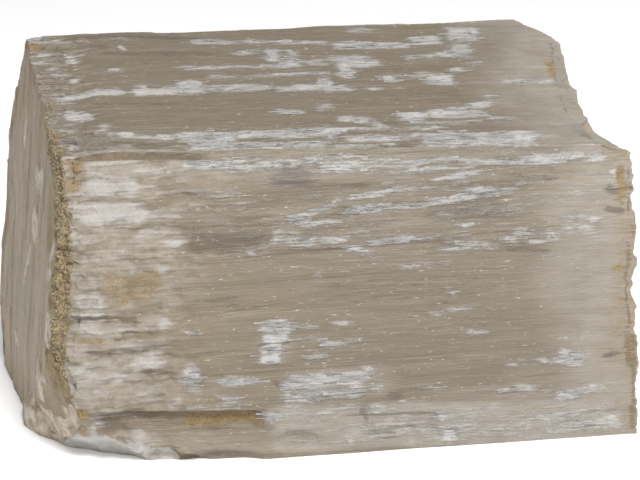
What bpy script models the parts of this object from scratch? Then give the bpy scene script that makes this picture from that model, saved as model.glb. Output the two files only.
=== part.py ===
"""A block of fibrous selenite, cleaved from a vein of satin spar, as one solid.

The fibres run along X. The block stands on a flat cleaved face at Z = 0, its broad front looks
towards -Y, and the origin is under the middle of the block. Lengths are in metres.
"""

from dataclasses import dataclass

import bmesh
import bpy
from mathutils import Vector, noise

MM = 0.001

# The block before it is cleaved: fibres along X, thickness of the vein along Y.
LENGTH = 160 * MM
DEPTH = 76 * MM
HEIGHT = 98 * MM
FRONT_Y = -DEPTH / 2
BACK_Y = DEPTH / 2

# The faces that cleaving left: where each passes, and how far it leans or turns.
LEFT_END_X = -67.1 * MM
LEFT_END_SLANT = 0.104
LEFT_END_LEAN = 0.068
LEFT_FOOT_Z = 18 * MM
LEFT_FOOT_X = LEFT_END_X + LEFT_END_LEAN * LEFT_FOOT_Z
RIGHT_END_X = 73.8 * MM
RIGHT_END_SLANT = 0.15
RIGHT_END_LEAN = 0.045
SHOULDER_Z = 51 * MM
SHOULDER_LEAN = 0.15
CREST_Y = 14 * MM
CREST_Z = 91.5 * MM
UPPER_RISE = 0.365
UPPER_FALL = 0.028
BACK_SLOPE = 1.42
CREST_TURN = 0.042

# Cuts between mesh lines: long along the fibres, short across them.
FIBRE_STEP = 5.2 * MM
ACROSS_STEP = 2.1 * MM
END_STEP = 3.4 * MM
CUT_MERGE = 0.4 * MM

# The relief fades out this far from the face that it belongs to, and further where it is deep.
RELIEF_REACH = 1.6 * MM
RESTING_BAND = 0.05 * MM
BROW = 0.5 * MM
LEDGE_FADE = 0.07
STEP_TREAD = 0.6
FLAT_MIDDLE = 0.1

# Where one kind of relief gives way to another, as the place it starts and the place it is full.
FLAKY_FROM_X = (-22 * MM, -44 * MM)
COMB_FROM_X = (-52 * MM, -60 * MM)
LEFT_RIDGE_SLANT = 0.16
BACK_WRAP = 0.6

COLOUR = (0.33, 0.29, 0.23, 1.0)
ROUGHNESS = 0.42


@dataclass(frozen=True)
class Face:
    """One cleaved face: a point on it, its outward direction and the relief that it carries."""

    relief: str
    point: Vector
    outward: Vector


@dataclass(frozen=True)
class Bundles:
    """Fibre bundles that end at different depths, drawn out along the fibres."""

    depth: float
    length: float
    width: float
    seed: float
    steps: int = 0

    def at(self, along, across):
        """How deep they are here: in flat steps, or rounded where there are none."""
        spot = Vector((along / self.length, across / self.width, self.seed))
        level = 0.5 + 0.5 * noise.noise(spot)
        if self.steps:
            whole, rest = divmod(level * self.steps, 1)
            level = (whole + ramp(rest, STEP_TREAD, 1)) / self.steps
        return self.depth * level


@dataclass(frozen=True)
class Hollow:
    """A place where material is missing: its middle, its half widths and its depth."""

    centre: Vector
    reach: Vector
    depth: float

    def at(self, place):
        """How deep it is here."""
        offset = place - self.centre
        spread = sum((offset[axis] / self.reach[axis]) ** 2 for axis in range(3))
        return self.depth * (1 - ramp(spread, FLAT_MIDDLE, 1))


@dataclass(frozen=True)
class Ledge:
    """A strip of the front that split away under a brow running from left to right."""

    left: Vector
    right: Vector
    height: float
    set_back: float

    def at(self, place):
        """How far the strip is set back here: sharp at the brow, softer at its foot."""
        share = (place.x - self.left.x) / (self.right.x - self.left.x)
        drop = self.left.z + share * (self.right.z - self.left.z) - place.z
        under = ramp(drop, -BROW, BROW)
        over = 1 - ramp(drop, self.height, self.height + 3 * BROW)
        within = ramp(share, -LEDGE_FADE, LEDGE_FADE) * (1 - ramp(share, 1 - LEDGE_FADE, 1 + LEDGE_FADE))
        return self.set_back * under * over * within


def ramp(value, start, end):
    """0 at start, 1 at end, with a smooth rise between them."""
    share = min(max((value - start) / (end - start), 0.0), 1.0)
    return share * share * (3 - 2 * share)


CLEAVED = (
    Face("left_end", Vector((LEFT_END_X, FRONT_Y, 0)), Vector((-1, -LEFT_END_SLANT, LEFT_END_LEAN))),
    Face("left_end", Vector((LEFT_FOOT_X, FRONT_Y, LEFT_FOOT_Z)), Vector((-1, -LEFT_END_SLANT, 0))),
    Face("left_end", Vector((-68.6, -7.7, 0)) * MM, Vector((-1, -0.434, -0.335))),
    Face("seam", Vector((-61.1, -38, 40)) * MM, Vector((-1, -1, 0.095))),
    Face("right_end", Vector((RIGHT_END_X, FRONT_Y, 0)), Vector((1, RIGHT_END_SLANT, RIGHT_END_LEAN))),
    Face("front", Vector((0, FRONT_Y, SHOULDER_Z)), Vector((0, -1, SHOULDER_LEAN))),
    Face("upper", Vector((0, CREST_Y, CREST_Z)), Vector((UPPER_FALL, -UPPER_RISE, 1))),
    Face("back", Vector((0, CREST_Y, CREST_Z)), Vector((-CREST_TURN, BACK_SLOPE, 1))),
    Face("upper", Vector((56, 14, 90)) * MM, Vector((0.8, 0.3, 1))),
    Face("foot", Vector((-45.5, -32.3, 0)) * MM, Vector((-0.357, -0.577, -0.733))),
    Face("back", Vector((0, 36.5, 0)) * MM, Vector((0, 1, -0.25))),
)
SIDES = (
    Face("front", Vector((0, FRONT_Y, 0)), Vector((0, -1, 0))),
    Face("back", Vector((0, BACK_Y, 0)), Vector((0, 1, 0))),
)

FRONT_CALM = Bundles(0.6 * MM, 55 * MM, 6 * MM, seed=3.1, steps=3)
FRONT_FLAKY = Bundles(1.5 * MM, 13 * MM, 4.5 * MM, seed=7.7, steps=3)
FRONT_FINE = Bundles(0.35 * MM, 16 * MM, 2.7 * MM, seed=1.3)
UPPER_STEPS = Bundles(0.6 * MM, 70 * MM, 7 * MM, seed=11.9, steps=3)
UPPER_COMB = Bundles(1.0 * MM, 9 * MM, 2.9 * MM, seed=5.2)
UPPER_FINE = Bundles(0.25 * MM, 24 * MM, 3 * MM, seed=2.6)
BACK_STEPS = Bundles(1.4 * MM, 48 * MM, 9 * MM, seed=19.4, steps=4)
BACK_FINE = Bundles(0.35 * MM, 18 * MM, 3 * MM, seed=23.5)
LEFT_RIDGES = Bundles(0.8 * MM, 42 * MM, 7 * MM, seed=31.2, steps=3)
SEAM_LUMPS = Bundles(1.3 * MM, 5 * MM, 3 * MM, seed=4.4)
RIGHT_RAGGED = Bundles(1.2 * MM, 7 * MM, 4 * MM, seed=41.8, steps=3)
FOOT_LUMPS = 2.0 * MM
FOOT_LUMP_SPAN = 9 * MM

# Brows on the front, the long one low at the left first.
LEDGES = (
    Ledge(Vector((-56.5, 0, 13.8)) * MM, Vector((-18, 0, 12.2)) * MM, 4.0 * MM, 2.2 * MM),
    Ledge(Vector((-63, 0, 37.6)) * MM, Vector((-46, 0, 37.0)) * MM, 1.8 * MM, 1.1 * MM),
    Ledge(Vector((-57, 0, 29.0)) * MM, Vector((-38, 0, 29.6)) * MM, 2.4 * MM, 1.0 * MM),
    Ledge(Vector((2, 0, 9.6)) * MM, Vector((24, 0, 8.8)) * MM, 4.0 * MM, 0.9 * MM),
    Ledge(Vector((-16, 0, 57.0)) * MM, Vector((44, 0, 62.5)) * MM, 3.4 * MM, 0.8 * MM),
)
# Bites out of each face. One with a negative depth is a lump.
RIGHT_BITES = (
    Hollow(Vector((66, -21, 79)) * MM, Vector((17, 16, 12)) * MM, 5.6 * MM),
    Hollow(Vector((64, -6, 84)) * MM, Vector((15, 9, 8)) * MM, 2.8 * MM),
    Hollow(Vector((68, -31, 73.5)) * MM, Vector((10, 8, 5.6)) * MM, 4.6 * MM),
    Hollow(Vector((60, 15, 90)) * MM, Vector((9, 5.5, 7)) * MM, 2.6 * MM),
    Hollow(Vector((70, -38, 58)) * MM, Vector((8, 9, 2.6)) * MM, 1.0 * MM),
    Hollow(Vector((71, -34, 38)) * MM, Vector((8, 12, 6)) * MM, 1.2 * MM),
    Hollow(Vector((62, 4, 58)) * MM, Vector((12, 14, 16)) * MM, 2.0 * MM),
    Hollow(Vector((62, 20, 25)) * MM, Vector((12, 11, 13)) * MM, 2.2 * MM),
)
LEFT_BITES = (
    Hollow(Vector((-71, 38, 48)) * MM, Vector((9, 22, 17)) * MM, 0.9 * MM),
    Hollow(Vector((-63, -30, 55)) * MM, Vector((7, 5, 16)) * MM, 0.8 * MM),
    Hollow(Vector((-67, -9, 1)) * MM, Vector((9, 12, 9)) * MM, -1.7 * MM),
)
UPPER_BITES = (
    Hollow(Vector((-18, 14, 91)) * MM, Vector((26, 9, 5)) * MM, 0.6 * MM),
)
FRONT_BITES = (
    Hollow(Vector((-41, -38, 0)) * MM, Vector((12, 5, 3)) * MM, 1.8 * MM),
    Hollow(Vector((-27, -38, 0)) * MM, Vector((11, 5, 3.5)) * MM, 2.0 * MM),
    Hollow(Vector((-9, -38, 4)) * MM, Vector((6, 5, 3)) * MM, 1.1 * MM),
    Hollow(Vector((-39, -38, 56)) * MM, Vector((9, 5, 3)) * MM, 1.0 * MM),
    Hollow(Vector((-44, -38, 21)) * MM, Vector((11, 5, 3)) * MM, 1.2 * MM),
    Hollow(Vector((18, -38, 3.5)) * MM, Vector((3, 5, 3)) * MM, 0.9 * MM),
)


def bitten(place, bites):
    """How deep a face's bites are at this place."""
    return sum(hollow.at(place) for hollow in bites)


def front_depth(place):
    """Fibre bundles across the front, rough and flaky near its left end, with its ledges."""
    flaky = ramp(place.x, *FLAKY_FROM_X)
    bundles = (1 - flaky) * FRONT_CALM.at(place.x, place.z) + flaky * FRONT_FLAKY.at(place.x, place.z)
    ledges = sum(ledge.at(place) for ledge in LEDGES)
    return bundles + FRONT_FINE.at(place.x, place.z) + ledges + bitten(place, FRONT_BITES)


def upper_depth(place):
    """Long shallow steps on the upper face, notched like a comb at the left end."""
    comb = ramp(place.x, *COMB_FROM_X) * UPPER_COMB.at(place.x, place.y)
    bundles = UPPER_STEPS.at(place.x, place.y) + UPPER_FINE.at(place.x, place.y)
    return bundles + comb + bitten(place, UPPER_BITES)


def back_depth(place):
    """Long splintery steps behind, deeper than those in front."""
    around = place.z + BACK_WRAP * place.y
    return BACK_STEPS.at(place.x, around) + BACK_FINE.at(place.x, around)


def left_end_depth(place):
    """A silky cleaved end with slanting ridges."""
    across = place.y + LEFT_RIDGE_SLANT * place.z
    return LEFT_RIDGES.at(place.z, across) + bitten(place, LEFT_BITES)


def seam_depth(place):
    """The crusted seam, eaten into, between the left end and the front."""
    return SEAM_LUMPS.at(place.z, place.y)


def right_end_depth(place):
    """Broken fibre ends, bitten into along the rim."""
    return RIGHT_RAGGED.at(place.y, place.z) + bitten(place, RIGHT_BITES)


def foot_depth(place):
    """Rounded lumps where the lower left corner broke off."""
    return FOOT_LUMPS * abs(noise.noise(place / FOOT_LUMP_SPAN))


DEPTHS = {
    "front": front_depth,
    "upper": upper_depth,
    "back": back_depth,
    "left_end": left_end_depth,
    "seam": seam_depth,
    "right_end": right_end_depth,
    "foot": foot_depth,
}


def distance(place, face):
    """How far a point is from a face's plane."""
    return abs((place - face.point).dot(face.outward.normalized()))


def relief(place):
    """Where a point of the flat-faced block ends up once the faces have their relief."""
    moved = place.copy()
    for name, depth_at in DEPTHS.items():
        faces = [face for face in CLEAVED + SIDES if face.relief == name]
        nearest = min(faces, key=lambda face: distance(place, face))
        depth = depth_at(place)
        belongs = 1 - ramp(distance(place, nearest), 0, RELIEF_REACH + 2 * abs(depth))
        moved -= nearest.outward.normalized() * depth * belongs
    if place.z < RESTING_BAND:
        moved.z = 0
    return moved


def cleave(mesh, face):
    """Cut the block along one face and close the cut."""
    everything = list(mesh.verts) + list(mesh.edges) + list(mesh.faces)
    cut = bmesh.ops.bisect_plane(
        mesh, geom=everything, plane_co=face.point, plane_no=face.outward, clear_outer=True
    )
    rim = [piece for piece in cut["geom_cut"] if isinstance(piece, bmesh.types.BMEdge)]
    bmesh.ops.holes_fill(mesh, edges=rim)


def score(mesh, faces, place, direction):
    """Add mesh lines where a plane crosses the given faces, and cut nothing away."""
    edges = {edge for face in faces for edge in face.edges}
    corners = {corner for face in faces for corner in face.verts}
    bmesh.ops.bisect_plane(
        mesh,
        geom=list(corners) + list(edges) + list(faces),
        dist=CUT_MERGE,
        plane_co=place,
        plane_no=direction,
    )


def evenly(start, end, step):
    """Places from start to end, both left out, about a step apart."""
    count = round((end - start) / step)
    return [start + (end - start) * index / count for index in range(1, count)]


def looks_along(face, axis):
    """Whether a face of the mesh looks mostly along this axis."""
    return abs(face.normal[axis]) > 0.85


def looks_askew(face):
    """Whether a face looks out over the front left edge."""
    return -face.normal.x - face.normal.y > 1.3


def score_block(mesh):
    """Lay a net of mesh lines over the faces: across the fibres, then along them."""
    for x in evenly(-LENGTH / 2, LENGTH / 2, FIBRE_STEP):
        sides = [face for face in mesh.faces if not looks_along(face, 0)]
        score(mesh, sides, Vector((x, 0, 0)), Vector((1, 0, 0)))
    for z in evenly(0, HEIGHT, ACROSS_STEP):
        upright = [face for face in mesh.faces if looks_along(face, 1)]
        score(mesh, upright, Vector((0, 0, z)), Vector((0, 0, 1)))
    for y in evenly(FRONT_Y, CREST_Y, ACROSS_STEP):
        level = [face for face in mesh.faces if face.normal.z > 0.9]
        score(mesh, level, Vector((0, y, 0)), Vector((0, 1, 0)))
    for y in evenly(CREST_Y, BACK_Y, ACROSS_STEP):
        slope = [face for face in mesh.faces if 0.3 < face.normal.z < 0.9]
        score(mesh, slope, Vector((0, y, 0)), Vector((0, 1, 0)))
    for y in evenly(FRONT_Y, BACK_Y, END_STEP):
        ends = [face for face in mesh.faces if looks_along(face, 0)]
        score(mesh, ends, Vector((0, y, 0)), Vector((0, 1, 0)))
    for z in evenly(0, HEIGHT, END_STEP):
        ends = [face for face in mesh.faces if looks_along(face, 0) or looks_askew(face)]
        score(mesh, ends, Vector((0, 0, z)), Vector((0, 0, 1)))


def score_ledge(mesh, ledge):
    """Two lines along a brow, so that its edge is crisp."""
    along = (ledge.right - ledge.left).normalized()
    across = Vector((-along.z, 0, along.x))
    for rise in (BROW, -BROW):
        near = [
            face
            for face in mesh.faces
            if face.normal.y < -0.9
            and ledge.left.x < face.calc_center_median().x < ledge.right.x
        ]
        score(mesh, near, ledge.left + across * rise, across)


def selenite_material():
    """Milky grey-beige stone with a silky shine."""
    material = bpy.data.materials.new("selenite")
    material.use_nodes = True
    shader = material.node_tree.nodes["Principled BSDF"]
    shader.inputs["Base Color"].default_value = COLOUR
    shader.inputs["Roughness"].default_value = ROUGHNESS
    shader.inputs["Metallic"].default_value = 0.0
    material.diffuse_color = COLOUR
    return material


def build_crystal(collection):
    """The whole crystal: a block, cleaved, scored with mesh lines and given its relief."""
    mesh = bmesh.new()
    bmesh.ops.create_cube(mesh, size=1)
    bmesh.ops.scale(mesh, vec=(LENGTH, DEPTH, HEIGHT), verts=mesh.verts)
    bmesh.ops.translate(mesh, vec=(0, 0, HEIGHT / 2), verts=mesh.verts)
    for face in CLEAVED:
        cleave(mesh, face)
    mesh.normal_update()
    score_block(mesh)
    for ledge in LEDGES:
        score_ledge(mesh, ledge)
    for corner in mesh.verts:
        corner.co = relief(corner.co)
    bmesh.ops.triangulate(mesh, faces=mesh.faces)
    bmesh.ops.recalc_face_normals(mesh, faces=mesh.faces)
    data = bpy.data.meshes.new("selenite_crystal")
    mesh.to_mesh(data)
    mesh.free()
    data.materials.append(selenite_material())
    crystal = bpy.data.objects.new("selenite_crystal", data)
    collection.objects.link(crystal)
    return crystal


def main():
    """Empty the scene and build the crystal in a collection of its own."""
    for old in list(bpy.data.objects):
        bpy.data.objects.remove(old)
    collection = bpy.data.collections.new("Selenite crystal")
    bpy.context.scene.collection.children.link(collection)
    build_crystal(collection)


main()
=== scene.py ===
"""A block of fibrous selenite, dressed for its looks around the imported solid.

The crystal was cleaved from a vein of satin spar, so its fibres run along X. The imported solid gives
its size and place. The block here repeats the same cleaved faces with a finer net and adds fibres,
frayed flakes, the grit of the seam and the milky, silky finish. Lengths are in metres. The marks on
each face are given in pixels of one view of the block and laid on its faces in millimetres.
"""

import logging
import math
import random
from collections.abc import Callable, Iterable
from dataclasses import dataclass, field
from enum import Enum

import bmesh
import bpy
from mathutils import Matrix, Vector, noise


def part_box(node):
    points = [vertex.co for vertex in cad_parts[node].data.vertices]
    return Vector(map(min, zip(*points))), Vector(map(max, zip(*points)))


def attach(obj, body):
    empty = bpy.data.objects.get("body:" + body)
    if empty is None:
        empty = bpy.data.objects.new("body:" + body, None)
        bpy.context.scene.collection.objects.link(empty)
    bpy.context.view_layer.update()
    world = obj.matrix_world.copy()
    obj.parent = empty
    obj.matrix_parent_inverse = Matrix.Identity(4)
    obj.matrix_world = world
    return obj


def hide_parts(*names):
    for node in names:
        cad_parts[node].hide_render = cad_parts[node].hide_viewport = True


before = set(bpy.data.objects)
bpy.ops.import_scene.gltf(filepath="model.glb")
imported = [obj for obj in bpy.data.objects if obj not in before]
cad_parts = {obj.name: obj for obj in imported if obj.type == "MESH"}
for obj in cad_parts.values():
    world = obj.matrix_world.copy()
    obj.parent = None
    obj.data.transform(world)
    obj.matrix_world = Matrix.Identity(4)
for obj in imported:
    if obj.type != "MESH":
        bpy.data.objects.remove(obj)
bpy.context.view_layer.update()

NODE = "selenite_crystal"
BODY = "root"

MM = 0.001

Colour = tuple[float, float, float]
Pair = tuple[float, float]
Triple = tuple[float, float, float]


class Side(Enum):
    """The sides of the block, each with marks of its own."""

    FRONT = "front"
    UPPER = "upper"
    BACK = "back"
    LEFT_END = "left_end"
    SEAM = "seam"
    RIGHT_END = "right_end"
    FOOT = "foot"


class Mark(Enum):
    """What may be drawn on a side, each kept as an attribute of the mesh."""

    BRUISE = "bruise"
    # Shade: partly darker stone, partly painted shade under raised flakes and brows, along rims that turn
    # away from the light, and in creases and fissures.
    SHADE = "shade"
    FROST = "frost"
    OCHRE = "ochre"
    SEAM = "seam"
    CRUMBLE = "crumble"
    # Clear stone: translucent brown, and on whole sides partly painted shade where less light falls.
    CLEAR = "clear"


def ramp(value: float, start: float, end: float) -> float:
    """Rise smoothly from 0 at start to 1 at end.

    Args:
        value: The place on the way from start to end.
        start: Where the rise begins.
        end: Where it is complete.

    Returns:
        A share from 0 to 1.
    """
    share = min(max((value - start) / (end - start), 0.0), 1.0)
    return share * share * (3 - 2 * share)


# The block before it is cleaved: fibres along X, thickness of the vein along Y.
LENGTH = 160 * MM
DEPTH = 76 * MM
HEIGHT = 98 * MM
FRONT_Y = -DEPTH / 2
BACK_Y = DEPTH / 2

# The faces that cleaving left: where each passes, and how far it leans or turns.
LEFT_END_X = -67.1 * MM
LEFT_END_SLANT = 0.104
LEFT_END_LEAN = 0.068
LEFT_FOOT_Z = 18 * MM
LEFT_FOOT_X = LEFT_END_X + LEFT_END_LEAN * LEFT_FOOT_Z
RIGHT_END_X = 73.8 * MM
RIGHT_END_SLANT = 0.15
RIGHT_END_LEAN = 0.045
SHOULDER_Z = 51 * MM
SHOULDER_LEAN = 0.15
CREST_Y = 14 * MM
CREST_Z = 91.5 * MM
UPPER_RISE = 0.365
UPPER_FALL = 0.028
BACK_SLOPE = 1.42
CREST_TURN = 0.042

# Length of the net's cells along the fibres, from one place to the next: finer where the stone is rough.
FIBRE_STEPS = (
    (-80 * MM, -20 * MM, 2.6 * MM),
    (-20 * MM, 50 * MM, 4.9 * MM),
    (50 * MM, 80 * MM, 3.2 * MM),
)

# How far round to an axis a face has to look to get the net's lines, as a part of its normal.
SQUARE_ON = 0.9
END_ON = 0.85
SLOPING = 0.3
ASKEW = 1.3

# Relief fades out this far from the face that it belongs to, and further where it is deep.
RELIEF_REACH = 1.6 * MM
RELIEF_FARTHEST = 13 * MM
RESTING_BAND = 0.05 * MM
BROW = 0.5 * MM
LEDGE_FADE = 0.07
STEP_TREAD = 0.6
FLAT_MIDDLE = 0.1
ROW_WANDER = 1.6
SHUFFLE = 7.3

# Where one kind of relief gives way to another, as the place it starts and the place it is full.
FLAKY_FROM_X = (-22 * MM, -44 * MM)
COMB_FROM_X = (-52 * MM, -60 * MM)
TEETH_FROM_X = (-49 * MM, -57 * MM)
TEETH_TO_Y = (14 * MM, 4 * MM)
CREST_CALM = (0.5 * MM, 5 * MM)
CREST_ROUGH = 0.35
LEFT_RIDGE_SLANT = 0.16
BACK_WRAP = 0.6


# Where the block is seen from, both by the camera and where its marks are laid out: a little to the
# left of its middle and from above. Turns are in degrees, lengths in millimetres, the size in pixels.
VIEW_AZIMUTH = -10
VIEW_ELEVATION = 18
VIEW_DISTANCE = 590
VIEW_TARGET = (4.0, 5.5, 38.7)
VIEW_SIZE = (640, 480)
VIEW_LENS = 135
SENSOR_WIDTH = 36

# Which of X, Y and Z run along and across the marks of a side: X and Z, apart from these two.
AXES = {Side.UPPER: (0, 1), Side.LEFT_END: (2, 1)}
UPRIGHT = (0, 2)


@dataclass(frozen=True)
class Face:
    """One cleaved face of the block.

    Args:
        side: The side that it belongs to.
        point: A point on it.
        outward: Its outward direction.
    """

    side: Side
    point: Vector
    outward: Vector

    def distance(self, place: Vector) -> float:
        """How far a place is from the face's plane."""
        return abs((place - self.point).dot(self.outward.normalized()))


@dataclass(frozen=True)
class Bundles:
    """Fibre bundles that end at different depths, drawn out along the fibres.

    Args:
        depth: How deep the deepest one is.
        length: Their length along the fibres.
        width: Their width across the fibres.
        seed: What tells one field of bundles from another.
        steps: How many flat levels they have, or 0 where they are rounded.
    """

    depth: float
    length: float
    width: float
    seed: float
    steps: int = 0

    def at(self, along: float, across: float) -> float:
        """How deep they are here.

        Args:
            along: The place along the fibres.
            across: The place across them.

        Returns:
            A depth in metres, from 0 to the full depth.
        """
        spot = Vector((along / self.length, across / self.width, self.seed))
        level = 0.5 + 0.5 * noise.noise(spot)
        if self.steps:
            whole, rest = divmod(level * self.steps, 1)
            level = (whole + ramp(rest, STEP_TREAD, 1)) / self.steps
        return self.depth * level


@dataclass(frozen=True)
class Splinters:
    """Split fibres in rows, each snapped off at places of its own.

    Args:
        depth: How deep the lowest one lies under the highest.
        length: The mean length between two breaks.
        width: The width of a row.
        crown: How deep the groove between two rows is, as a share of the depth.
        seed: What tells one set from another.
    """

    depth: float
    length: float
    width: float
    crown: float
    seed: float

    def at(self, along: float, across: float) -> float:
        """How deep the splinter here lies.

        Args:
            along: The place along the fibres.
            across: The place across them.

        Returns:
            A depth in metres.
        """
        far, wide = along / self.length, across / self.width
        stray = ROW_WANDER * noise.noise(Vector((far / 3, wide / 5, self.seed)))
        row = math.floor(wide + stray)
        within = wide + stray - row
        shuffled = SHUFFLE * noise.cell(Vector((row + 0.5, self.seed, 0.5)))
        uneven = noise.noise(Vector((far, row * SHUFFLE, self.seed)))
        segment = math.floor(far + shuffled + uneven)
        level = 0.5 + 0.5 * noise.cell(Vector((segment + 0.5, row + 0.5, self.seed)))
        groove = abs(2 * within - 1) ** 3
        return self.depth * (level + self.crown * groove)


@dataclass(frozen=True)
class Hollow:
    """A place where material is missing, or a lump where the depth is negative.

    Args:
        centre: Its middle.
        reach: Its half widths.
        depth: Its depth.
    """

    centre: Vector
    reach: Vector
    depth: float

    def at(self, place: Vector) -> float:
        """How deep it is at a place."""
        offset = place - self.centre
        spread = sum((offset[axis] / self.reach[axis]) ** 2 for axis in range(3))
        return self.depth * (1 - ramp(spread, FLAT_MIDDLE, 1))


@dataclass(frozen=True)
class Ledge:
    """A strip of the front that split away under a brow running from left to right.

    Args:
        left: The left end of the brow.
        right: Its right end.
        height: How high the strip is.
        set_back: How far it lies back.
        brow: Half the height of the brow's turn.
    """

    left: Vector
    right: Vector
    height: float
    set_back: float
    brow: float = BROW

    def at(self, place: Vector) -> float:
        """How far the strip is set back at a place: sharp at the brow, softer at its foot.

        Args:
            place: The place on the flat face.

        Returns:
            A depth in metres.
        """
        share = (place.x - self.left.x) / (self.right.x - self.left.x)
        drop = self.left.z + share * (self.right.z - self.left.z) - place.z
        under = ramp(drop, -self.brow, self.brow)
        over = 1 - ramp(drop, self.height, self.height + 3 * self.brow)
        within = ramp(share, -LEDGE_FADE, LEDGE_FADE) * (1 - ramp(share, 1 - LEDGE_FADE, 1 + LEDGE_FADE))
        return self.set_back * under * over * within


@dataclass(frozen=True)
class Zone:
    """A mark that comes in gradually along the fibres.

    Args:
        start: Where it starts, in millimetres.
        full: Where it is full.
        strength: How strong it is there.
    """

    start: float
    full: float
    strength: float


@dataclass(frozen=True)
class Stroke:
    """One mark, drawn from start to end with soft flanks.

    It is given in pixels of the view, across and down, until it is laid on a sheet. From then on it
    is in millimetres, along and across a side of the block.

    Args:
        start: Where it begins.
        end: Where it ends.
        width: Its full width.
        strength: How strong it is along its middle.
    """

    start: Pair
    end: Pair
    width: float
    strength: float = 1.0

    def laid_on(self, sheet: "Sheet", spread: float) -> "Stroke":
        """The stroke as it lies on a sheet, where this one is given in pixels of the view.

        Args:
            sheet: The sheet that it lies on.
            spread: How many times wider it is made.

        Returns:
            The stroke in millimetres, to a tenth of one.
        """
        start, end = sheet.under(self.start), sheet.under(self.end)
        seen = (self.end[0] - self.start[0], self.end[1] - self.start[1])
        half = round(self.width * spread, 1) / 2 / (math.hypot(*seen) or 1)
        middle = ((self.start[0] + self.end[0]) / 2, (self.start[1] + self.end[1]) / 2)
        one = sheet.under((middle[0] - seen[1] * half, middle[1] + seen[0] * half))
        other = sheet.under((middle[0] + seen[1] * half, middle[1] - seen[0] * half))
        run = (end[0] - start[0], end[1] - start[1])
        area = abs((one[0] - other[0]) * run[1] - (one[1] - other[1]) * run[0])
        width = area / (math.hypot(*run) or 1)
        ends = ((round(along, 1), round(across, 1)) for along, across in (start, end))
        return Stroke(*ends, round(width, 1), self.strength)

    def at(self, along: float, across: float) -> float:
        """How strong the mark is at a place on its side: half strength at its nominal ends and flanks.

        Args:
            along: The place's coordinate along the fibres, in millimetres.
            across: Its coordinate across them.

        Returns:
            A strength from 0 to the stroke's own.
        """
        run = Vector(self.end) - Vector(self.start)
        ahead = run.normalized() if run.length > SHORTEST_RUN else Vector((1, 0))
        off = Vector((along, across)) - (Vector(self.start) + Vector(self.end)) / 2
        past_end = abs(off.dot(ahead)) - run.length / 2
        past_flank = abs(off.x * ahead.y - off.y * ahead.x) - self.width / 2
        if past_end > END_SKIRT or past_flank > FLANK_SKIRT:
            return 0.0
        within_ends = 1 - ramp(past_end, -END_SKIRT, END_SKIRT)
        return self.strength * within_ends * (1 - ramp(past_flank, -FLANK_SKIRT, FLANK_SKIRT))


def dot(first: Triple, second: Triple) -> float:
    """The dot product of two directions or places."""
    return sum(one * other for one, other in zip(first, second))


def sight(spot: Pair) -> tuple[Triple, Triple]:
    """The line of sight through a spot of the view.

    Args:
        spot: How far across and down the view it is, in pixels.

    Returns:
        The eye's place and the direction in which it looks, in millimetres.
    """
    turn, rise = math.radians(VIEW_AZIMUTH), math.radians(VIEW_ELEVATION)
    back = (math.sin(turn) * math.cos(rise), -math.cos(turn) * math.cos(rise), math.sin(rise))
    right = (math.cos(turn), math.sin(turn), 0.0)
    up = (-math.sin(turn) * math.sin(rise), math.cos(turn) * math.sin(rise), math.cos(rise))
    zoom = VIEW_SIZE[0] * VIEW_LENS / SENSOR_WIDTH
    rightward = (spot[0] - VIEW_SIZE[0] / 2) / zoom
    upward = (VIEW_SIZE[1] / 2 - spot[1]) / zoom
    eye = tuple(aim + VIEW_DISTANCE * part for aim, part in zip(VIEW_TARGET, back))
    ray = tuple(rightward * r + upward * u - b for r, u, b in zip(right, up, back))
    return eye, ray


@dataclass(frozen=True)
class Sheet:
    """A flat face that marks are laid out on.

    Args:
        side: The side of the block that it belongs to.
        point: A point on it, in millimetres.
        outward: Its outward direction.
    """

    side: Side
    point: Triple
    outward: Triple

    def under(self, spot: Pair) -> Pair:
        """Where a spot of the view lies on the sheet.

        Args:
            spot: How far across and down the view it is, in pixels.

        Returns:
            The coordinates along and across the sheet's side, in millimetres.
        """
        eye, ray = sight(spot)
        reach = (dot(self.outward, self.point) - dot(self.outward, eye)) / dot(self.outward, ray)
        along, across = AXES.get(self.side, UPRIGHT)
        return eye[along] + reach * ray[along], eye[across] + reach * ray[across]


CLEAVED = (
    Face(Side.LEFT_END, Vector((LEFT_END_X, FRONT_Y, 0)), Vector((-1, -LEFT_END_SLANT, LEFT_END_LEAN))),
    Face(Side.LEFT_END, Vector((LEFT_FOOT_X, FRONT_Y, LEFT_FOOT_Z)), Vector((-1, -LEFT_END_SLANT, 0))),
    Face(Side.LEFT_END, Vector((-68.6, -7.7, 0)) * MM, Vector((-1, -0.434, -0.335))),
    Face(Side.SEAM, Vector((-61.1, -38, 40)) * MM, Vector((-1, -1, 0.095))),
    Face(Side.RIGHT_END, Vector((RIGHT_END_X, FRONT_Y, 0)), Vector((1, RIGHT_END_SLANT, RIGHT_END_LEAN))),
    Face(Side.FRONT, Vector((0, FRONT_Y, SHOULDER_Z)), Vector((0, -1, SHOULDER_LEAN))),
    Face(Side.UPPER, Vector((0, CREST_Y, CREST_Z)), Vector((UPPER_FALL, -UPPER_RISE, 1))),
    Face(Side.BACK, Vector((0, CREST_Y, CREST_Z)), Vector((-CREST_TURN, BACK_SLOPE, 1))),
    Face(Side.UPPER, Vector((56, 14, 90)) * MM, Vector((0.8, 0.3, 1))),
    Face(Side.FOOT, Vector((-45.5, -32.3, 0)) * MM, Vector((-0.357, -0.577, -0.733))),
    Face(Side.BACK, Vector((0, 36.5, 0)) * MM, Vector((0, 1, -0.25))),
)
UNCUT = (
    Face(Side.FRONT, Vector((0, FRONT_Y, 0)), Vector((0, -1, 0))),
    Face(Side.BACK, Vector((0, BACK_Y, 0)), Vector((0, 1, 0))),
)
FACES = {side: [face for face in CLEAVED + UNCUT if face.side is side] for side in Side}

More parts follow.
